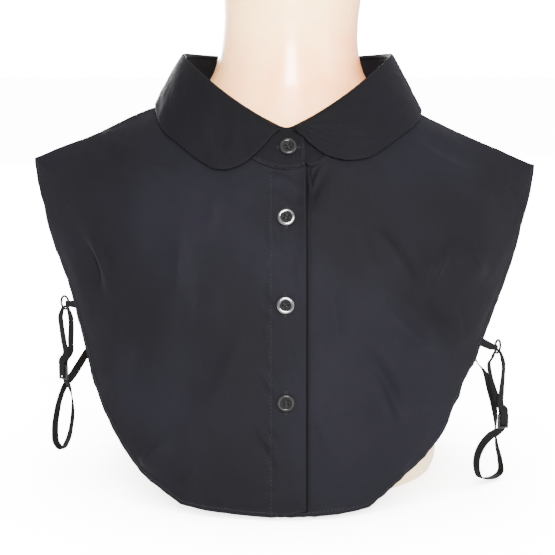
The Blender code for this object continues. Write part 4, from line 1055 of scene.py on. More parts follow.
def leaf_faces(panels, stand):
    """The leaf's outer and inner faces: up from the stand's top, over the roll, down to the outer edge."""
    table = np.asarray(LEAF_EDGE)
    turns = leaf_turns()
    edge = through(-table[:, 0], table[:, 1:], -turns)
    _, crest, upright, outward, level = collar_frame(turns)
    root = crest - upright * (ROLL_RISE + ROLL_ROOM + LEAF_WALL)
    centre = root + upright * ROLL_RISE + outward * (ROLL_ROOM / 2)
    inner, outer = [], []
    for radius, rows in ((ROLL_ROOM, inner), (ROLL_ROOM + LEAF_WALL, outer)):
        rows.append(root + outward * (ROLL_ROOM / 2 - radius))
        for angle in np.linspace(math.pi, 0, LEAF_ROLL_STEPS + 1):
            rows.append(centre + outward * radius * math.cos(angle) + upright * radius * math.sin(angle))
    start = inner[-1]
    edge = laid_on(edge, unit(level + LAY_UP), panels, LAY_GAP)
    edge = laid_on(edge, unit(level + LAY_UP), stand, LAY_GAP)
    length = np.linalg.norm(edge - start, axis=1, keepdims=True)
    control = start + (edge - start) * 0.40 + outward * length * LEAF_BOW
    fall = []
    for t in np.linspace(0, 1, LEAF_FALL_STEPS + 1)[1:]:
        fall.append((1 - t) ** 2 * start + 2 * t * (1 - t) * control + t * t * edge)
    fall = np.array(fall)
    fall = laid_on(fall, unit(level + LAY_UP)[None], panels, LAY_GAP)
    fall = laid_on(fall, unit(level + LAY_UP)[None], stand, LAY_GAP)
    inner_grid = np.array(inner + list(fall))
    normals = sheet_normals(inner_grid)[-LEAF_FALL_STEPS:]
    normals *= np.sign((normals * outward[None]).sum(axis=-1, keepdims=True))
    return np.array(outer + list(fall + normals * LEAF_WALL)), inner_grid


def sheet_tree(*grids):
    """One surface of several outer faces, with its normals facing out."""
    points, faces, start = [], [], 0
    for grid in grids:
        rows, columns = grid.shape[:2]
        points.extend(grid.reshape(-1, 3).tolist())
        faces.extend(sheet_faces(rows, columns, start, turned=not faces_out(grid)))
        start += rows * columns
    return BVHTree.FromPolygons(points, faces)


def on_surface(tree, x, height):
    """The place and the outward direction where a level line from the front meets a surface."""
    place, normal, _, _ = tree.ray_cast(Vector((x, -0.4, height)), Vector((0, 1, 0)))
    normal = -normal if normal.y > 0 else normal
    return np.array(place), np.array(normal)


def edge_frame(edge, beside, height):
    """A point on a panel's side edge, the level way on past the edge, and the way in behind the panel."""
    point, near = (through(line[:, 2], line, height)[0] for line in (edge, beside))
    past = unit((point - near) * (1, 1, 0))
    inward = np.array([-past[1], past[0], 0])
    return point, past, -inward * math.copysign(1, inward[0] * point[0])


def route_through(rows):
    """A smooth route through the rows of a strap's table, with more points where the rows are far apart."""
    rows = np.asarray(rows, float)
    runs = np.linalg.norm(np.diff(rows[:, :3], axis=0), axis=1)
    knots = np.concatenate([[0], np.cumsum(runs)])
    stops = [knots[:1]]
    for start, end in zip(knots, knots[1:]):
        stops.append(np.linspace(start, end, 1 + math.ceil((end - start) / STRAP_STEP))[1:])
    return through(knots, rows, np.concatenate(stops))


def round_wire(place, ahead, aside, turn, lean):
    """Rows that take a strap round a wire at place: ahead of it, then back on its other side."""
    steps = [(0.0002, -1.0), (0.0015, -0.8), (0.0022, 0.0), (0.0015, 0.8), (0.0002, 1.0)]
    return [(*(place + ahead * on + aside * WIRE_CLEAR * part), turn, lean, PINCH) for on, part in steps]


# Fronts, back, stand and leaf

def worked_front(side, tree):
    """One front's outer face with its folds, creases, hem and placket, its wall, its wear and painted shade, and its
    stitch lines.
    """
    coarse = front_grid(side, tree)
    corner, neck = SIDE_ROWS - 1, SIDE_ROWS - 1 + NECK_CORNER_ROW
    rows = np.union1d(spread(PANEL_GRID[0], 0.5) * (len(coarse) - 1), [corner, neck])
    columns = spread(PANEL_GRID[1], 0.6) * (coarse.shape[1] - 1)
    grid = finer(coarse, rows, columns, [(corner, 1), (neck, 0)])
    x, z = grid[..., 0], grid[..., 2]
    hem_gap = gap_to(grid, grid[rows <= corner, -1], grid[0])
    seam_gap = gap_to(grid, grid[rows >= corner, -1])
    neck_gap = gap_to(grid, grid[rows >= neck, 0], grid[-1])
    close_gap = gap_to(grid, grid[rows <= neck, 0])
    nearest = np.minimum.reduce([hem_gap, seam_gap, neck_gap, close_gap])
    height = fold_height(grid, FRONT_FOLDS) * smooth_step(nearest, 0, FOLD_EDGE_FADE)
    height += 2.2 * crease_height(grid, FRONT_CREASES) * smooth_step(nearest, 0, 0.008)
    away = smooth_step(np.minimum(neck_gap, close_gap), 0, 0.010)
    height += 0.00046 * unevenness(x, z, 16, 0.024, 0.075, 5 + side) * away
    height += 0.00008 * unevenness(x, z, 26, 0.006, 0.015, 8 + side) * away
    hem = 1 - smooth_step(hem_gap, HEM_WIDTH - 0.0003, HEM_WIDTH + 0.0004)
    height += HEM_RISE * hem - 0.00015 * np.exp(-((hem_gap - HEM_WIDTH + 0.0008) / 0.0004) ** 2)
    height += 0.00028 * np.exp(-(hem_gap / 0.006) ** 2) * unevenness(x, z, 12, 0.006, 0.014, 11 + side)
    height -= SEAM_GROOVE * np.exp(-(seam_gap / 0.0011) ** 2)
    wall = CLOTH + 0.0004 * hem
    worn = np.exp(-(hem_gap / 0.0007) ** 2) + 0.5 * np.exp(-(seam_gap / 0.0012) ** 2)
    lines = [where(hem_gap, grid, HEM_WIDTH - 0.0008), where(hem_gap, grid, HEM_WIDTH - 0.0008, rows=False)]
    if side == RIGHT:
        inside = PLACKET_EDGE - PLACKET_WIDTH
        band = smooth_step(x, inside - 0.0003, inside + 0.0003)
        height += PLACKET_RISE * band - 0.00016 * np.exp(-((x - inside - 0.0013) / 0.0004) ** 2)
        height += 1.7 * crease_height(grid, PLACKET_CREASES) * smooth_step(close_gap, 0, 0.005)
        pucker = np.exp(-((x - inside - 0.0013) / 0.0036) ** 2)
        height += 0.00042 * pucker * unevenness(0.5 * x, z, 10, 0.005, 0.010, 21)
        height += 0.0005 * np.exp(-(close_gap / 0.0030) ** 2)
        height += 0.0012 * (1 - smooth_step(z, 0.008, 0.066)) * smooth_step(x, -0.004, PLACKET_EDGE)
        wall = wall + 0.0004 * band
        worn += 0.5 * np.exp(-((x - inside) / 0.0005) ** 2)
        low = rows <= neck + 4
        lines.append(where(x[low], grid[low], inside + 0.0013))
    if side == LEFT:
        # Painted shade: a dark strip on the left front just past the placket's edge, held as values below zero of the
        # wear attribute
        worn = worn - 1.3 * np.exp(-((x - PLACKET_EDGE - 0.0002) / 0.0009) ** 2) * smooth_step(hem_gap, 0.001, 0.004)
        height -= 0.0036 * np.exp(-((x - PLACKET_EDGE + 0.0006) / 0.0017) ** 2) * smooth_step(hem_gap, 0.002, 0.012)
        for level, out, reach in EDGE_WAVES:
            grid[..., 0] += out * np.exp(-((z - level) / reach) ** 2) * np.exp(-(hem_gap / 0.012) ** 2) * (x > 0.08)
    grid = grid + outward_normals(grid) * height[..., None]
    if side == RIGHT:
        grid[..., 2] += OVERLAP_HEM_RISE * smooth_step(x, -0.010, PLACKET_EDGE) * (1 - smooth_step(z, 0.004, 0.018))
    return coarse, grid, wall, worn, lines


def worked_back(tree):
    """The back's outer face with its folds, creases and hem, its wall, its wear and its stitch lines."""
    right, left = back_half(RIGHT, tree), back_half(LEFT, tree)
    coarse = np.concatenate([left[:, ::-1], right[:, 1:]], axis=1)
    corner = SIDE_ROWS - 1
    closed = coarse.copy()
    closed[corner:, [0, -1], 1] -= SEAM_GAP
    rows = np.union1d(spread(BACK_GRID[0], 0.5) * (len(coarse) - 1), [corner])
    columns = spread(BACK_GRID[1], 0.6) * (coarse.shape[1] - 1)
    grid = finer(closed, rows, columns, [(corner, 0), (corner, 1)])
    x, z = grid[..., 0], grid[..., 2]
    side, yoke = rows <= corner, rows >= corner
    hem_gap = gap_to(grid, grid[side, -1], grid[side, 0], grid[0])
    seam_gap = np.minimum(gap_to(grid, grid[yoke, -1]), gap_to(grid, grid[yoke, 0]))
    neck_gap = gap_to(grid, grid[-1])
    nearest = np.minimum.reduce([hem_gap, seam_gap, neck_gap])
    height = fold_height(grid, BACK_FOLDS) * smooth_step(nearest, 0, FOLD_EDGE_FADE)
    height += 2.0 * crease_height(grid, BACK_CREASES) * smooth_step(nearest, 0, 0.008)
    away = smooth_step(neck_gap, 0, 0.010)
    height += 0.00030 * unevenness(x, z, 16, 0.024, 0.075, 31) * away
    height += 0.00008 * unevenness(x, z, 26, 0.006, 0.015, 33) * away
    hem = 1 - smooth_step(hem_gap, HEM_WIDTH - 0.0003, HEM_WIDTH + 0.0004)
    height += HEM_RISE * hem - 0.00015 * np.exp(-((hem_gap - HEM_WIDTH + 0.0008) / 0.0004) ** 2)
    height += 0.00028 * np.exp(-(hem_gap / 0.006) ** 2) * unevenness(x, z, 12, 0.006, 0.014, 35)
    height -= SEAM_GROOVE * np.exp(-(seam_gap / 0.0011) ** 2)
    worn = np.exp(-(hem_gap / 0.0007) ** 2) + 0.5 * np.exp(-(seam_gap / 0.0012) ** 2)
    halves = [grid[:, x[0] >= 0], grid[:, x[0] < 0]]
    gaps = [hem_gap[:, x[0] >= 0], hem_gap[:, x[0] < 0]]
    lines = [where(hem_gap, grid, HEM_WIDTH - 0.0008, rows=False)]
    lines += [where(gap[:, ::turn], half[:, ::turn], HEM_WIDTH - 0.0008) for gap, half, turn in zip(gaps, halves, (-1, 1))]
    for columns_in in (slice(None, len(columns) // 2), slice(len(columns) // 2, None)):
        lines.append(where(seam_gap[yoke][:, columns_in], grid[yoke][:, columns_in], 0.0024))
    return coarse, grid + outward_normals(grid) * height[..., None], CLOTH + 0.0004 * hem, worn, lines


def worked_stand():
    """The stand's outer face, its wear and its stitch lines. Its foot reaches over the panels' edges."""
    turns = np.concatenate([
        np.linspace(STAND_OVERLAP, -STAND_OVERLAP, 70), np.linspace(-STAND_OVERLAP, STAND_OVERLAP - 360, STAND_GRID[1])[1:-1],
        np.linspace(STAND_OVERLAP - 360, -STAND_OVERLAP - 360, 70),
    ])
    foot, crest, upright, outward, level = collar_frame(turns)
    under = smooth_step(-turns, 360 - 42, 360 - 16)[:, None]
    foot = foot - upright * (0.0010 + 0.0030 * under) + outward * 0.0003
    front = 1 - smooth_step(np.abs((turns + 180) % 360 - 180), *STAND_RISE_TURNS)
    top = crest - upright * (ROLL_RISE + ROLL_ROOM + LEAF_WALL + SEAM_GAP - STAND_RISE * front[:, None])
    levels = np.linspace(0, 1, STAND_GRID[0])[:, None, None]
    grid = foot[None] * (1 - levels) + top[None] * levels - (level * under * STAND_UNDER_SHIFT)[None]
    across, up = measured(grid)
    gap = np.minimum(up - 0.0010, across)
    height = 0.00012 * unevenness(across, up, 14, 0.008, 0.030, 41)
    height -= 0.00014 * np.exp(-((gap - 0.0016) / 0.0004) ** 2)
    grid = grid + outward[None] * height[..., None]
    worn = np.exp(-(gap / 0.0006) ** 2)
    shown = np.nonzero(under[:, 0] < 0.3)[0]
    lines = [where(up[:, shown], grid[:, shown], 0.0026, rows=False), where(across[4:-1], grid[4:-1], 0.0016)]
    return grid, worn, lines


def worked_leaf(panels, stand):
    """The leaf's outer face and its wear."""
    coarse, _ = leaf_faces(panels, stand)
    rows = np.linspace(0, len(coarse) - 1, LEAF_GRID[0])
    columns = np.linspace(0, coarse.shape[1] - 1, LEAF_GRID[1])
    grid = finer(coarse, rows, columns)
    edge_gap = gap_to(grid, grid[-1])
    across, up = measured(grid)
    free = smooth_step(rows, 3.0, 5.0)[:, None]
    height = 0.00016 * unevenness(across, up, 14, 0.014, 0.050, 51) * free
    height += 0.00006 * unevenness(across, up, 20, 0.005, 0.012, 53) * free
    height -= 0.00025 * np.exp(-(edge_gap / 0.0007) ** 2)
    return grid + outward_normals(grid) * height[..., None], 0.3 * np.exp(-(edge_gap / 0.0007) ** 2)


def make_cloth(bust):
    """All the cloth and its stitching. Returns the coarse panels and the surfaces that the buttons lie on."""
    poplin, thread = black_poplin("black poplin cloth", 1.0), black_thread()
    # The collar cloth is a darker copy of the poplin: painted shade
    painted_shade_poplin = black_poplin("black poplin collar cloth with painted shade", COLLAR_PAINTED_SHADE)
    right_coarse, right, right_wall, right_worn, right_lines = worked_front(RIGHT, bust)
    left_coarse, left, left_wall, left_worn, left_lines = worked_front(LEFT, bust)
    left = sunk_under(left, right)
    back_coarse, back, back_wall, back_worn, back_lines = worked_back(bust)
    stand, stand_worn, stand_lines = worked_stand()
    panels = sheet_tree(right, left, back)
    stand_tree = sheet_tree(stand)
    leaf, leaf_worn = worked_leaf(panels, stand_tree)
    pieces = {
        "front_right": cloth_piece("right_front_cloth", right, right_wall, poplin, right_worn),
        "front_left": cloth_piece("left_front_cloth", left, left_wall, poplin, left_worn),
        "back": cloth_piece("back_cloth", back, back_wall, poplin, back_worn),
        "collar_stand": cloth_piece("stand_cloth", stand, COLLAR_CLOTH, painted_shade_poplin, stand_worn, 0.0004),
        "collar_leaf": cloth_piece("leaf_cloth", leaf, LEAF_CLOTH, painted_shade_poplin, leaf_worn, 0.0004),
    }
    trees = {"front": sheet_tree(right), "stand": stand_tree, "left": sheet_tree(left), "back": sheet_tree(back)}
    sewing = {
        "front_right": [stitched("right_front_stitches", right_lines, trees["front"], thread)],
        "front_left": [stitched("left_front_stitches", left_lines, trees["left"], thread)],
        "back": [stitched("back_stitches", back_lines, trees["back"], thread)],
        "collar_stand": [stitched("stand_stitches", stand_lines, stand_tree, thread)],
        "collar_leaf": [],
    }
    for name, x, height, carrier in BUTTONS:
        node = "collar_stand" if carrier == "stand" else "front_right"
        sewing[node].append(buttonhole(name + "_hole", x, height, trees[carrier], carrier == "stand", thread))
    for node, (flat, area, held, rests_on) in CUTS.items():
        made = pieces[node]
        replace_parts(made, node)
        for shown in [made, *sewing[node]]:
            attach(shown, "root")
    return right_coarse, left_coarse, back_coarse, trees


def buttonhole(name, x, height, tree, level, look):
    """The worked edges of a buttonhole: close stitches along both sides of its slit and across its ends."""
    half, apart = BUTTONHOLE / 2, 0.00075
    along, aside = (np.array([1, 0, 0]), np.array([0, 0, 1])) if level else (np.array([0, 0, 1]), np.array([1, 0, 0]))
    middle, _ = on_surface(tree, x, height)
    runs = []
    for shift in (-apart, apart):
        steps = np.linspace(-half, half, 40)[:, None]
        runs.append(middle + along * steps + aside * shift)
    for end in (-half - 0.0003, half + 0.0003):
        steps = np.linspace(-0.0004, 0.0004, 3)[:, None]
        runs.append(middle + along * end + along * steps)
    ends = stitched(name, runs, tree, look, 0.0011, 0.00036, crossways=True)
    return ends


# Buttons

def choose(test):
    """Selects the faces being edited whose middle and normal pass a test."""
    bpy.ops.mesh.select_mode(type="FACE")
    bpy.ops.mesh.select_all(action="DESELECT")
    mesh = bmesh.from_edit_mesh(bpy.context.object.data)
    for face in mesh.faces:
        if test(face.calc_center_median(), face.normal):
            face.select_set(True)
    bmesh.update_edit_mesh(bpy.context.object.data)


def begin(add, **sizes):
    """A new primitive, alone in the selection and in edit mode."""
    bpy.ops.object.select_all(action="DESELECT")
    add(**sizes)
    bpy.ops.object.transform_apply(location=True, rotation=True, scale=True)
    bpy.ops.object.mode_set(mode="EDIT")
    return bpy.context.object


def cut(made, cutter):
    """Takes the cutter's form out of a piece, and removes the cutter."""
    bpy.ops.object.select_all(action="DESELECT")
    made.select_set(True)
    bpy.context.view_layer.objects.active = made
    taken = made.modifiers.new("cut", "BOOLEAN")
    taken.operation, taken.solver, taken.object = "DIFFERENCE", "EXACT", cutter
    bpy.ops.object.modifier_apply(modifier=taken.name)
    bpy.data.objects.remove(cutter, do_unlink=True)


def rounded(made, width, angle=35):
    """Rounds a piece's edges and shades it smooth between them."""
    bpy.ops.object.select_all(action="DESELECT")
    made.select_set(True)
    bpy.context.view_layer.objects.active = made
    edge = made.modifiers.new("edges", "BEVEL")
    edge.width, edge.segments, edge.limit_method, edge.angle_limit = width, 3, "ANGLE", math.radians(angle)
    bpy.ops.object.modifier_apply(modifier=edge.name)
    bpy.ops.object.shade_smooth_by_angle(angle=math.radians(40))


def make_button(look):
    """One button with a raised rim, a dished middle and four holes, its back at the origin and its face up."""
    made = begin(bpy.ops.mesh.primitive_cylinder_add, vertices=72, radius=BUTTON_TURNING[0][0], depth=0.0002, location=(0, 0, 0.0001))
    before, level = BUTTON_TURNING[0][0], 0.0002
    for radius, height in BUTTON_TURNING[1:]:
        choose(lambda middle, normal, at=level: normal.z > 0.9 and abs(middle.z - at) < 1e-5 and middle.xy.length < 1e-4)
        bpy.ops.mesh.extrude_region_move(TRANSFORM_OT_translate={"value": (0, 0, height - level)})
        share = radius / before
        bpy.ops.transform.resize(value=(share, share, 1), center_override=(0, 0, height))
        before, level = radius, height
    bpy.ops.object.mode_set(mode="OBJECT")
    for across in (-1, 1):
        for up in (-1, 1):
            place = (across * BUTTON_HOLES, up * BUTTON_HOLES, 0.001)
            drill = begin(bpy.ops.mesh.primitive_cylinder_add, vertices=24, radius=0.00078, depth=0.006, location=place)
            bpy.ops.object.mode_set(mode="OBJECT")
            cut(made, drill)
    bpy.ops.object.select_all(action="DESELECT")
    made.select_set(True)
    bpy.context.view_layer.objects.active = made
    bpy.ops.object.shade_smooth_by_angle(angle=math.radians(38))
    dish = made.data.attributes.new("worn", "FLOAT", "POINT")
    dish.data.foreach_set("value", [float(v.co.xy.length < BUTTON_DISH and v.co.z > 0.0012) for v in made.data.vertices])
    made.data.materials.clear()
    made.data.materials.append(look)
    return made


def thread_points():
    """Strands of thread from hole to hole of a button, as lines of points with the face up."""
    lines = []
    for up in (-1, 1):
        for strand in (-1, 0, 1):
            reach = np.linspace(-1, 1, 13)
            x = reach * BUTTON_HOLES
            y = up * (BUTTON_HOLES + strand * 0.00026 * (1 - 0.6 * reach ** 2))
            z = 0.00150 + 0.00052 * np.sqrt(np.clip(1 - reach ** 2, 0, 1)) - 0.0006 * np.abs(reach) ** 8
            lines.append(np.stack([x, y, z], axis=1))
    return lines


def tubes(lines, radius, sides=8):
    """Round strands along lines of points."""
    points, faces = [], []
    turn = np.linspace(0, 2 * math.pi, sides, endpoint=False)[:, None]
    for line in lines:
        start = len(points)
        ways = unit(np.gradient(line, axis=0))
        aside = unit(np.cross(ways, np.array([0.1, 0.2, 1.0])))
        above = np.cross(aside, ways)
        for place, side, up in zip(line, aside, above):
            points.extend(place + (side * np.cos(turn) + up * np.sin(turn)) * radius)
        for ring in range(len(line) - 1):
            for j in range(sides):
                a, b = start + ring * sides + j, start + ring * sides + (j + 1) % sides
                faces.append((a, b, b + sides, a + sides))
        faces.append(tuple(range(start + sides - 1, start - 1, -1)))
        last = start + (len(line) - 1) * sides
        faces.append(tuple(range(last, last + sides)))
    return np.array(points), faces


def make_buttons(trees):
    """The four buttons, each turned a little its own way, sewn on with thread."""
    look, thread = black_button(), black_thread()
    first = make_button(look)
    strands, faces = tubes(thread_points(), 0.00017)
    for (name, x, height, carrier), spin, rubbed in zip(BUTTONS, BUTTON_SPINS, BUTTON_RUBBED):
        place, way = on_surface(trees[carrier], x, height)
        across = unit(np.cross((0, 0, 1), way))
        turn = math.radians(spin)
        side = across * math.cos(turn) + np.cross(way, across) * math.sin(turn)
        frame_at = Matrix((side, np.cross(way, side), way)).transposed().to_4x4()
        frame_at.translation = Vector(place + way * BUTTON_LIFT)
        made = bpy.data.objects.new(name + "_turned", first.data.copy())
        bpy.context.scene.collection.objects.link(made)
        made.data.transform(frame_at)
        for spot in made.data.attributes["worn"].data:
            spot.value = max(spot.value, rubbed)
        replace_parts(made, name)
        rotate = np.array(frame_at.to_3x3())
        sewn = mesh_piece(name + "_thread", strands @ rotate.T + np.array(frame_at.translation), faces, thread)
        for shown in (made, sewn):
            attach(shown, "root")
    bpy.data.objects.remove(first, do_unlink=True)


# Straps, rings and sliders

def strap_piece(name, route, wall, look):
    """A flat woven strap with soft edges and fine ribs, along a route with the turn, lean and share of its width."""
    points, turns, leans = route[:, :3], np.radians(route[:, 3]), np.radians(route[:, 4])
    widths = np.stack([np.cos(leans) * np.cos(turns), np.cos(leans) * np.sin(turns), np.sin(leans)], axis=1)
    tangents = unit(np.gradient(points, axis=0))
    widths = unit(widths - tangents * (widths * tangents).sum(axis=1, keepdims=True))
    faces_way = np.cross(tangents, widths)
    run = np.concatenate([[0], np.cumsum(np.linalg.norm(np.diff(points, axis=0), axis=1))])
    reach = np.sin(np.linspace(-1, 1, 2 * STRAP_RIBS + 1) * math.pi / 2)
    thick = wall / 2 * (1 - 0.55 * np.abs(reach) ** 8) - 0.00005 * (np.arange(len(reach)) % 2)
    around = np.concatenate([np.stack([reach, -thick], axis=1), np.stack([reach, thick], axis=1)[::-1]])
    rings, weave = [], []
    for k in range(len(points)):
        half = widths[k] * STRAP_WIDTH / 2 * route[k, 5]
        rings.append(points[k] + around[:, :1] * half + around[:, 1:] * faces_way[k])
        weave.append(np.stack([around[:, 0] * STRAP_WIDTH / 2, np.full(len(around), run[k])], axis=1))
    sides = len(around)
    faces = [tuple(range(sides - 1, -1, -1)), tuple(range((len(rings) - 1) * sides, len(rings) * sides))]
    for level in range(len(rings) - 1):
        for j in range(sides):
            a, b = level * sides + j, level * sides + (j + 1) % sides
            faces.append((a, b, b + sides, a + sides))
    made = mesh_piece(name, np.concatenate(rings), faces, look, np.concatenate(weave))
    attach(made, "root")
    return made


def make_ring(name, centre, turn, look):
    """A round wire ring, its two ends butted at the back, that stands upright."""
    made = begin(bpy.ops.mesh.primitive_torus_add, major_radius=RING_RADIUS, minor_radius=RING_WIRE, major_segments=96, minor_segments=20)
    joint = RING_RADIUS * math.cos(math.radians(225)), RING_RADIUS * math.sin(math.radians(225))
    choose(lambda middle, normal: math.hypot(middle.x - joint[0], middle.y - joint[1]) < RING_WIRE * 1.2
           and abs(math.degrees(math.atan2(middle.y, middle.x)) + 135) < 2.5)
    bpy.ops.transform.shrink_fatten(value=-0.00014)
    bpy.ops.mesh.select_all(action="SELECT")
    bpy.ops.mesh.normals_make_consistent(inside=False)
    bpy.ops.object.mode_set(mode="OBJECT")
    bpy.ops.object.shade_smooth()
    upright = Matrix.Translation(Vector(centre)) @ Matrix.Rotation(turn, 4, "Z") @ Matrix.Rotation(math.radians(90), 4, "X")
    return placed(made, name, upright, look)


def placed(made, name, matrix, look):
    """Puts a piece's place into its mesh and gives it its finish."""
    made.data.transform(matrix @ made.matrix_world)
    made.matrix_world = Matrix.Identity(4)
    made.name = name
    made.data.materials.clear()
    made.data.materials.append(look)
    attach(made, "root")
    return made


def make_slider(name, middle, turn, look):
    """A moulded slider: a plate with two slots, a bar between them and rounded edges."""
    made = begin(bpy.ops.mesh.primitive_cube_add, size=1)
    bpy.ops.transform.resize(value=(SLIDER_WIDTH, SLIDER_WALL, SLIDER_HEIGHT), center_override=(0, 0, 0))
    choose(lambda place, normal: abs(normal.y) > 0.9)
    bpy.ops.mesh.inset(thickness=0.0005, depth=0.00018)
    bpy.ops.object.mode_set(mode="OBJECT")
    slot_height = SLIDER_HEIGHT / 2 - SLIDER_BAR * 1.5
    for side in (-1, 1):
        place = (0, 0, side * (SLIDER_BAR / 2 + slot_height / 2))
        cutter = begin(bpy.ops.mesh.primitive_cube_add, size=1, location=place)
        bpy.ops.transform.resize(value=(SLIDER_WIDTH - 2 * SLIDER_BAR, 0.01, slot_height), center_override=place)
        bpy.ops.object.mode_set(mode="OBJECT")
        cut(made, cutter)
    rounded(made, 0.00028)
    return placed(made, name, Matrix.Translation(Vector(middle)) @ Matrix.Rotation(turn, 4, "Z"), look)


def make_tab(name, anchor, past, inward, wire, ring_way, aside, look):
    """A tab sewn behind a panel's edge, which goes out round the ring's wire and comes back."""
    first = PANEL_WALL + TAB_WALL / 2 + BEHIND_GAP
    second = first + TAB_WALL + SEAM_GAP
    rows = [
        (*(anchor - past * UNDER_PANEL + inward * first), 0, 90, 1),
        (*(anchor + past * 0.001 + inward * first), 0, 90, 1),
        *round_wire(wire, ring_way, aside, 0, 90),
        (*(anchor + past * 0.001 + inward * second), 0, 90, 1),
        (*(anchor - past * UNDER_PANEL + inward * second), 0, 90, 1),
    ]
    return strap_piece(name, route_through(rows), TAB_WALL, look)


def make_strap_side(side, front, back, elastic, hardware):
    """The tab, ring, slider and strap of one side."""
    end = "right" if side == RIGHT else "left"
    height, centre, ring_turn, middle, slider_turn, back_height = STRAP_SIDES[side]
    centre, middle, up = np.array(centre), np.array(middle), np.array([0, 0, 1])
    turn = math.radians(ring_turn)
    ring_way = np.array([math.cos(turn), math.sin(turn), 0])
    aside = side * np.array([-ring_way[1], ring_way[0], 0])
    anchor, past, inward = edge_frame(front[:, -1], front[:, -2], height)
    tab = make_tab("tab_" + end + "_tape", anchor, past, inward, centre - ring_way * RING_RADIUS, ring_way, aside, elastic)
    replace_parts(tab, "tab_" + end)
    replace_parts(make_ring("ring_" + end + "_wire", centre, turn, hardware), "ring_" + end)
    tilt = math.radians(slider_turn)
    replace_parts(make_slider("slider_" + end + "_plate", middle, tilt, hardware), "slider_" + end)
    behind = np.array([-math.sin(tilt), math.cos(tilt), 0])
    low = centre - up * RING_RADIUS
    hang_turn = ring_turn - 180 if side == RIGHT else ring_turn
    near, far = (1, 0) if side == LEFT else (-2, -1)
    last, beyond, within = edge_frame(back[:, far], back[:, near], back_height)
    sewn = within * (PANEL_WALL + STRAP_WALL / 2 + BEHIND_GAP)
    end_turn = STRAP_SLACK[side][-1][3]
    rows = [
        (*(middle - up * 0.0026), slider_turn, 0, SLOT_PINCH),
        (*(middle - behind * 0.00115 - up * 0.0018), slider_turn, 0, SLOT_PINCH),
        (*(middle - behind * SLIDER_CLEAR), slider_turn, 0, SLOT_PINCH),
        (*(middle - behind * SLIDER_CLEAR + up * 0.0040), slider_turn, 0, SLOT_PINCH),
        (*(middle - behind * SLIDER_CLEAR * 1.2 + up * 0.0085), slider_turn, 0, 1),
        *STRAP_UP[side],
        (*(low - aside * 0.0042 - up * 0.0046), hang_turn, 0, 1),
        *[(*(low + up * on + aside * part), hang_turn, 0, share) for on, part, share in RING_ARCH],
        (*(low + aside * 0.0042 - up * 0.0046), hang_turn, 0, 1),
        *STRAP_DOWN[side],
        (*(middle + behind * SLIDER_CLEAR * 1.2 + up * 0.0085), slider_turn, 0, 1),
        (*(middle + behind * SLIDER_CLEAR + up * 0.0040), slider_turn, 0, 1),
        (*(middle + behind * SLIDER_CLEAR * 1.05 - up * 0.0010), slider_turn, 0, 1),
        (*(middle + behind * SLIDER_CLEAR * 1.25 - up * 0.0062), slider_turn, 0, 1),
        *STRAP_SLACK[side],
        (*(last + beyond * 0.006 + sewn), end_turn, 82, 1),
        (*(last - beyond * 0.001 + sewn), end_turn, 90, 1),
        (*(last - beyond * UNDER_PANEL + sewn), end_turn, 90, 1),
    ]
    strap = strap_piece("strap_" + end + "_tape", route_through(rows), STRAP_WALL, elastic)
    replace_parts(strap, "strap_" + end)


# Bust

def make_bust(look):
    """The bust's smooth form. Its level sections aren't round, so it is lofted through them in code."""
    sides = 160
    heights = np.concatenate([
        np.linspace(0, 0.004, 14)[:-1], np.linspace(0.004, 0.362, 150)[:-1], np.linspace(0.362, 0.372, 24),
    ])
    points = np.concatenate([bust_ring(height, sides) for height in heights])
    faces = [tuple(range(sides - 1, -1, -1)), tuple(range((len(heights) - 1) * sides, len(heights) * sides))]
    for level in range(len(heights) - 1):
        for j in range(sides):
            a, b = level * sides + j, level * sides + (j + 1) % sides
            faces.append((a, b, b + sides, a + sides))
    points[:, 0] += 0.0050 * smooth_step(points[:, 2], 0.310, 0.372) * smooth_step(points[:, 0], -0.02, 0.03)
    made = mesh_piece("bust_form", points, faces, look)
    made.data.set_sharp_from_angle(angle=math.radians(50))
    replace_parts(made, "bust")
    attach(made, "root")
    return made


# Finishes

def add(tree, kind, inputs=(), **settings):
    """One node with its settings, and its inputs set or linked."""
    made = tree.nodes.new(kind)
    for key, value in settings.items():
        setattr(made, key, value)
    for key, value in dict(inputs).items():
        if isinstance(value, bpy.types.NodeSocket):
            tree.links.new(value, made.inputs[key])
        else:
            made.inputs[key].default_value = value
    return made


def maths(tree, operation, first, second=0.0, clamp=False):
    return add(tree, "ShaderNodeMath", {0: first, 1: second}, operation=operation, use_clamp=clamp).outputs[0]


def ramp(tree, value, low, high, to_low=0.0, to_high=1.0):
    made = add(tree, "ShaderNodeMapRange", {"Value": value, "From Min": low, "From Max": high, "To Min": to_low, "To Max": to_high})
    made.interpolation_type = "SMOOTHSTEP"
    return made.outputs["Result"]


def mixed(tree, factor, first, second):
    made = add(tree, "ShaderNodeMix", data_type="RGBA")
    for socket, value in ((made.inputs[0], factor), (made.inputs[6], first), (made.inputs[7], second)):
        if isinstance(value, bpy.types.NodeSocket):
            tree.links.new(value, socket)
        else:
            socket.default_value = value
    return made.outputs[2]


def group(name, inputs, outputs):
    """A node group with named inputs and outputs. Returns it with its two end nodes."""
    made = bpy.data.node_groups.new(name, "ShaderNodeTree")
    for label, kind, value in inputs:
        socket = made.interface.new_socket(label, in_out="INPUT", socket_type=kind)
        if value is not None:
            socket.default_value = value
    for label, kind in outputs:
        made.interface.new_socket(label, in_out="OUTPUT", socket_type=kind)
    return made, made.nodes.new("NodeGroupInput"), made.nodes.new("NodeGroupOutput")


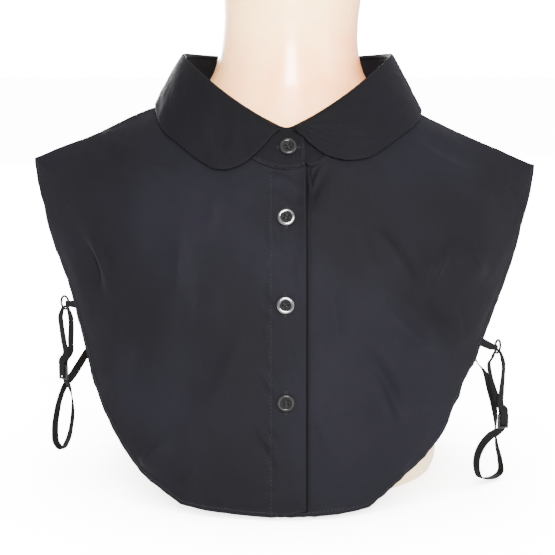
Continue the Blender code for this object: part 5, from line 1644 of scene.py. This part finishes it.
def plain_weave():
    """Height and shade of threads that cross one over one, along the lengths of a sheet."""
    tree, start, end = group("plain weave", [
        ("Lengths", "NodeSocketVector", None), ("Across", "NodeSocketFloat", 0.00026), ("Up", "NodeSocketFloat", 0.00040),
    ], [("Height", "NodeSocketFloat"), ("Shade", "NodeSocketFloat")])
    apart = add(tree, "ShaderNodeSeparateXYZ", {0: start.outputs["Lengths"]})
    waves = []
    for axis, pitch in ((0, "Across"), (1, "Up")):
        turns = maths(tree, "DIVIDE", apart.outputs[axis], start.outputs[pitch])
        waves.append(maths(tree, "SINE", maths(tree, "MULTIPLY", turns, math.pi)))
    crossing = maths(tree, "MULTIPLY", waves[0], waves[1])
    height = maths(tree, "MULTIPLY_ADD", crossing, 0.5)
    tree.nodes[-1].inputs[2].default_value = 0.5
    shades = []
    for scale in ((2600, 60, 1), (45, 1700, 1)):
        lengths = add(tree, "ShaderNodeMapping", {"Vector": start.outputs["Lengths"], "Scale": scale})
        shades.append(add(tree, "ShaderNodeTexNoise", {"Vector": lengths.outputs[0], "Scale": 1.0, "Detail": 2.0}).outputs[0])
    shade = maths(tree, "MULTIPLY", maths(tree, "ADD", shades[0], shades[1]), 0.5)
    tree.links.new(height, end.inputs["Height"])
    tree.links.new(shade, end.inputs["Shade"])
    return tree


def lint():
    """A mask of few, small specks and short fibres that lie on cloth."""
    tree, start, end = group("lint", [
        ("Place", "NodeSocketVector", None), ("Amount", "NodeSocketFloat", 0.5),
    ], [("Specks", "NodeSocketFloat")])
    bent = add(tree, "ShaderNodeTexNoise", {"Vector": start.outputs["Place"], "Scale": 260.0})
    moved = add(tree, "ShaderNodeVectorMath", {0: bent.outputs["Color"], "Scale": 0.004}, operation="SCALE")
    place = add(tree, "ShaderNodeVectorMath", {0: start.outputs["Place"], 1: moved.outputs[0]}, operation="ADD")
    cells = add(tree, "ShaderNodeTexVoronoi", {"Vector": place.outputs[0], "Scale": 170.0})
    near = ramp(tree, cells.outputs["Distance"], 0.05, 0.02)
    chosen = add(tree, "ShaderNodeSeparateColor", {0: cells.outputs["Color"]})
    few = maths(tree, "GREATER_THAN", start.outputs["Amount"], chosen.outputs[0])
    tree.links.new(maths(tree, "MULTIPLY", near, few), end.inputs["Specks"])
    return tree


def wear():
    """A broken mask along worn edges, and the uneven smear of handling."""
    tree, start, end = group("wear and handling", [
        ("Place", "NodeSocketVector", None), ("Edge", "NodeSocketFloat", 0.0), ("Scale", "NodeSocketFloat", 300.0),
    ], [("Worn", "NodeSocketFloat"), ("Smear", "NodeSocketFloat")])
    fine = add(tree, "ShaderNodeTexNoise", {"Vector": start.outputs["Place"], "Scale": start.outputs["Scale"], "Detail": 4.0})
    wide = add(tree, "ShaderNodeTexNoise", {"Vector": start.outputs["Place"], "Scale": 22.0, "Detail": 5.0, "Roughness": 0.6})
    broken = ramp(tree, fine.outputs[0], 0.35, 0.65)
    tree.links.new(maths(tree, "MULTIPLY", start.outputs["Edge"], broken, clamp=True), end.inputs["Worn"])
    tree.links.new(ramp(tree, wide.outputs[0], 0.3, 0.7), end.inputs["Smear"])
    return tree


def finish(name, rough, **fixed):
    """A new material: its tree, its shader with the fixed values set, and the place on the piece."""
    made = bpy.data.materials.new(name)
    made.use_nodes = True
    tree = made.node_tree
    shader = tree.nodes["Principled BSDF"]
    shader.inputs["Roughness"].default_value = rough
    for key, value in fixed.items():
        shader.inputs[key.replace("_", " ")].default_value = value
    place = add(tree, "ShaderNodeTexCoord").outputs["Object"]
    return made, tree, shader, place


def shared(tree, kind, inputs):
    """One of the shared effects in a material."""
    name = {"weave": "plain weave", "lint": "lint", "wear": "wear and handling"}[kind]
    effect = bpy.data.node_groups.get(name) or {"weave": plain_weave, "lint": lint, "wear": wear}[kind]()
    made = tree.nodes.new("ShaderNodeGroup")
    made.node_tree = effect
    for key, value in inputs.items():
        if isinstance(value, bpy.types.NodeSocket):
            tree.links.new(value, made.inputs[key])
        else:
            made.inputs[key].default_value = value
    return made.outputs


def black_poplin(name, depth):
    """Crisp black cotton poplin: fine ribs, a cool bloom, small crumples, a little lint, paler at edges in wear, and
    near black in a painted shade strip. Its colours are scaled by depth, which below 1 is painted shade.
    """
    made, tree, shader, place = finish(
        name, 0.8, Sheen_Weight=POPLIN_SHEEN, Sheen_Roughness=0.45, Sheen_Tint=(0.80, 0.84, 1.0, 1),
        Specular_IOR_Level=POPLIN_SHINE)
    lengths = add(tree, "ShaderNodeUVMap", uv_map="weave").outputs[0]
    edge = add(tree, "ShaderNodeAttribute", attribute_name="worn").outputs["Fac"]
    threads = shared(tree, "weave", {"Lengths": lengths, "Across": 0.00026, "Up": 0.00040})
    specks = shared(tree, "lint", {"Place": place, "Amount": 0.16})["Specks"]
    used = shared(tree, "wear", {"Place": place, "Edge": edge, "Scale": 420.0})
    # depth scales the colours; below 1 it is painted shade
    dark, pale, bloom = ([depth * part for part in shade[:3]] + [1] for shade in (POPLIN_DARK, POPLIN_PALE, POPLIN_BLOOM))
    colour = mixed(tree, threads["Shade"], dark, pale)
    tone = add(tree, "ShaderNodeTexNoise", {"Vector": place, "Scale": 9.0, "Detail": 3.0})
    colour = mixed(tree, ramp(tree, tone.outputs[0], 0.38, 0.66, 0.0, 0.55), colour, bloom)
    colour = mixed(tree, maths(tree, "MULTIPLY", used["Worn"], 0.10), colour, (0.04, 0.04, 0.05, 1))
    # Painted shade: near black where the attribute is below zero, along the left front's edge under the placket
    colour = mixed(tree, ramp(tree, edge, -0.1, -1.0), colour, (0.0004, 0.0004, 0.0005, 1))
    colour = mixed(tree, maths(tree, "MULTIPLY", specks, 0.30), colour, (0.06, 0.06, 0.07, 1))
    tree.links.new(colour, shader.inputs["Base Color"])
    tree.links.new(ramp(tree, threads["Shade"], 0.2, 0.8, 0.70, 0.86), shader.inputs["Roughness"])
    crumple = add(tree, "ShaderNodeTexNoise", {"Vector": place, "Scale": 85.0, "Detail": 3.0, "Roughness": 0.5})
    soft = add(tree, "ShaderNodeBump", {"Height": crumple.outputs[0], "Strength": 0.45, "Distance": 0.0011})
    fine = add(tree, "ShaderNodeBump", {
        "Height": threads["Height"], "Strength": 0.35, "Distance": 0.00008, "Normal": soft.outputs[0]})
    tree.links.new(fine.outputs[0], shader.inputs["Normal"])
    return made


def black_thread():
    """Black polyester sewing thread with a slight twist."""
    known = bpy.data.materials.get("black sewing thread")
    if known:
        return known
    made, tree, shader, place = finish("black sewing thread", 0.55, Specular_IOR_Level=0.2)
    ply = add(tree, "ShaderNodeTexNoise", {"Vector": place, "Scale": 5200.0, "Detail": 1.0})
    tree.links.new(mixed(tree, ply.outputs[0], (0.0035, 0.0035, 0.0042, 1), (0.0090, 0.0090, 0.0110, 1)), shader.inputs["Base Color"])
    tree.links.new(ramp(tree, ply.outputs[0], 0.3, 0.7, 0.45, 0.7), shader.inputs["Roughness"])
    twist = add(tree, "ShaderNodeBump", {"Height": ply.outputs[0], "Strength": 0.4, "Distance": 0.00005})
    tree.links.new(twist.outputs[0], shader.inputs["Normal"])
    return made


def black_elastic():
    """Woven elastic tape: cords lengthways, close picks across, a dull rubbery black."""
    made, tree, shader, place = finish("black woven elastic", 0.8, Specular_IOR_Level=0.07)
    lengths = add(tree, "ShaderNodeUVMap", uv_map="weave").outputs[0]
    threads = shared(tree, "weave", {"Lengths": lengths, "Across": 0.00042, "Up": 0.00055})
    used = shared(tree, "wear", {"Place": place, "Edge": 0.6, "Scale": 700.0})
    colour = mixed(tree, threads["Shade"], (0.0014, 0.0014, 0.0016, 1), (0.0036, 0.0036, 0.0040, 1))
    colour = mixed(tree, maths(tree, "MULTIPLY", used["Worn"], 0.08), colour, (0.020, 0.020, 0.023, 1))
    tree.links.new(colour, shader.inputs["Base Color"])
    tree.links.new(ramp(tree, threads["Height"], 0.0, 1.0, 0.88, 0.66), shader.inputs["Roughness"])
    fine = add(tree, "ShaderNodeBump", {"Height": threads["Height"], "Strength": 0.7, "Distance": 0.00012})
    tree.links.new(fine.outputs[0], shader.inputs["Normal"])
    return made


def black_button():
    """Black resin, polished on the rim and satin in the dish, finely scratched where it is handled."""
    made, tree, shader, place = finish("black button resin", 0.2, Specular_IOR_Level=0.06, Coat_Roughness=0.07, Coat_IOR=1.9)
    dish = add(tree, "ShaderNodeAttribute", attribute_name="worn").outputs["Fac"]
    tree.links.new(ramp(tree, dish, 0.2, 0.8, 1.0, 0.0), shader.inputs["Coat Weight"])
    used = shared(tree, "wear", {"Place": place, "Edge": 1.0, "Scale": 900.0})
    colour = mixed(tree, used["Smear"], (0.0025, 0.0025, 0.0028, 1), (0.0050, 0.0050, 0.0055, 1))
    colour = mixed(tree, maths(tree, "MULTIPLY", used["Worn"], 0.06), colour, (0.04, 0.04, 0.04, 1))
    tree.links.new(colour, shader.inputs["Base Color"])
    satin = maths(tree, "MULTIPLY", dish, 0.5)
    tree.links.new(maths(tree, "ADD", ramp(tree, used["Smear"], 0.0, 1.0, 0.10, 0.20), satin), shader.inputs["Roughness"])
    fine = add(tree, "ShaderNodeBump", {"Height": used["Worn"], "Strength": 0.15, "Distance": 0.00003})
    tree.links.new(fine.outputs[0], shader.inputs["Normal"])
    return made


def black_hardware():
    """Rings and sliders: metal under a thin black coat, a little uneven and rubbed at its edges."""
    made, tree, shader, place = finish("black coated hardware finish", 0.4, Specular_IOR_Level=0.18)
    used = shared(tree, "wear", {"Place": place, "Edge": 1.0, "Scale": 1100.0})
    colour = mixed(tree, used["Smear"], (0.0030, 0.0030, 0.0033, 1), (0.0070, 0.0070, 0.0075, 1))
    colour = mixed(tree, maths(tree, "MULTIPLY", used["Worn"], 0.16), colour, (0.05, 0.05, 0.05, 1))
    tree.links.new(colour, shader.inputs["Base Color"])
    tree.links.new(ramp(tree, used["Smear"], 0.0, 1.0, 0.26, 0.44), shader.inputs["Roughness"])
    peel = add(tree, "ShaderNodeTexNoise", {"Vector": place, "Scale": 1500.0, "Detail": 2.0})
    fine = add(tree, "ShaderNodeBump", {"Height": peel.outputs[0], "Strength": 0.12, "Distance": 0.00006})
    tree.links.new(fine.outputs[0], shader.inputs["Normal"])
    return made


def cream_plastic():
    """Glossy moulded plastic of a warm cream, with slight clouds in its colour and gloss."""
    made, tree, shader, place = finish("cream moulded plastic", 0.3, Coat_Weight=0.35, Coat_Roughness=0.12)
    used = shared(tree, "wear", {"Place": place, "Edge": 1.0, "Scale": 240.0})
    cloud = add(tree, "ShaderNodeTexNoise", {"Vector": place, "Scale": 14.0, "Detail": 4.0})
    colour = mixed(tree, ramp(tree, cloud.outputs[0], 0.3, 0.7), PLASTIC_DEEP, PLASTIC_PALE)
    height = add(tree, "ShaderNodeSeparateXYZ", {0: place}).outputs["Z"]
    colour = mixed(tree, ramp(tree, height, 0.16, 0.06), colour, PLASTIC_LOW)
    colour = mixed(tree, maths(tree, "MULTIPLY", used["Worn"], 0.05), colour, (0.95, 0.86, 0.78, 1))
    tree.links.new(colour, shader.inputs["Base Color"])
    tree.links.new(ramp(tree, used["Smear"], 0.0, 1.0, 0.24, 0.36), shader.inputs["Roughness"])
    peel = add(tree, "ShaderNodeTexNoise", {"Vector": place, "Scale": 320.0, "Detail": 2.0})
    fine = add(tree, "ShaderNodeBump", {"Height": peel.outputs[0], "Strength": 0.06, "Distance": 0.0002})
    tree.links.new(fine.outputs[0], shader.inputs["Normal"])
    return made


# Studio

def make_floor():
    mesh = bpy.data.meshes.new("studio_floor")
    mesh.from_pydata([(-4, -4, 0), (4, -4, 0), (4, 6, 0), (-4, 6, 0)], [], [(0, 1, 2, 3)])
    made, tree, shader, _ = finish("white studio floor", 0.9, Base_Color=(0.93, 0.935, 0.95, 1))
    shader.inputs["Specular IOR Level"].default_value = 0.1
    shader.inputs["Emission Color"].default_value = (1, 1, 1, 1)
    seen = add(tree, "ShaderNodeLightPath").outputs["Is Camera Ray"]
    open_sky = add(tree, "ShaderNodeAmbientOcclusion", {"Distance": 0.16}, samples=8).outputs["AO"]
    glow = ramp(tree, open_sky, 0.25, 1.0, 0.25 * FLOOR_GLOW, FLOOR_GLOW)
    tree.links.new(maths(tree, "MULTIPLY", seen, glow), shader.inputs["Emission Strength"])
    mesh.materials.append(made)
    floor = bpy.data.objects.new("studio_floor", mesh)
    bpy.context.scene.collection.objects.link(floor)


def make_light():
    world = bpy.data.worlds.new("studio")
    world.use_nodes = True
    tree = world.node_tree
    tree.nodes["Background"].inputs["Color"].default_value = (1, 1, 1, 1)
    seen = add(tree, "ShaderNodeLightPath").outputs["Is Camera Ray"]
    tree.links.new(ramp(tree, seen, 0, 1, WORLD_LIGHT, WORLD_SHOWN), tree.nodes["Background"].inputs["Strength"])
    bpy.context.scene.world = world
    for name, place, aim, width, height, power, colour in LIGHTS:
        lamp = bpy.data.lights.new(name, "AREA")
        lamp.shape, lamp.size, lamp.size_y, lamp.energy, lamp.color = "RECTANGLE", width, height, power, colour
        made = bpy.data.objects.new(name, lamp)
        made.location = place
        made.rotation_mode = "QUATERNION"
        made.rotation_quaternion = (Vector(aim) - Vector(place)).to_track_quat("-Z", "Y")
        bpy.context.scene.collection.objects.link(made)


def make_camera():
    lens = bpy.data.cameras.new("photo_view")
    lens.lens, lens.sensor_width = 103.4, 36
    lens.clip_start, lens.clip_end = 0.05, 30
    made = bpy.data.objects.new("photo_view", lens)
    made.location = (-0.0083, -1.1983, 0.358)
    made.rotation_euler = (math.radians(80), 0, 0)
    bpy.context.scene.collection.objects.link(made)
    bpy.context.scene.camera = made


bust = bust_tree()
bust_form = make_bust(cream_plastic())
right_coarse, left_coarse, back_coarse, trees = make_cloth(bust)
make_buttons(trees)
elastic, hardware = black_elastic(), black_hardware()
make_strap_side(RIGHT, right_coarse, back_coarse, elastic, hardware)
make_strap_side(LEFT, left_coarse, back_coarse, elastic, hardware)
make_floor()
make_light()
make_camera()
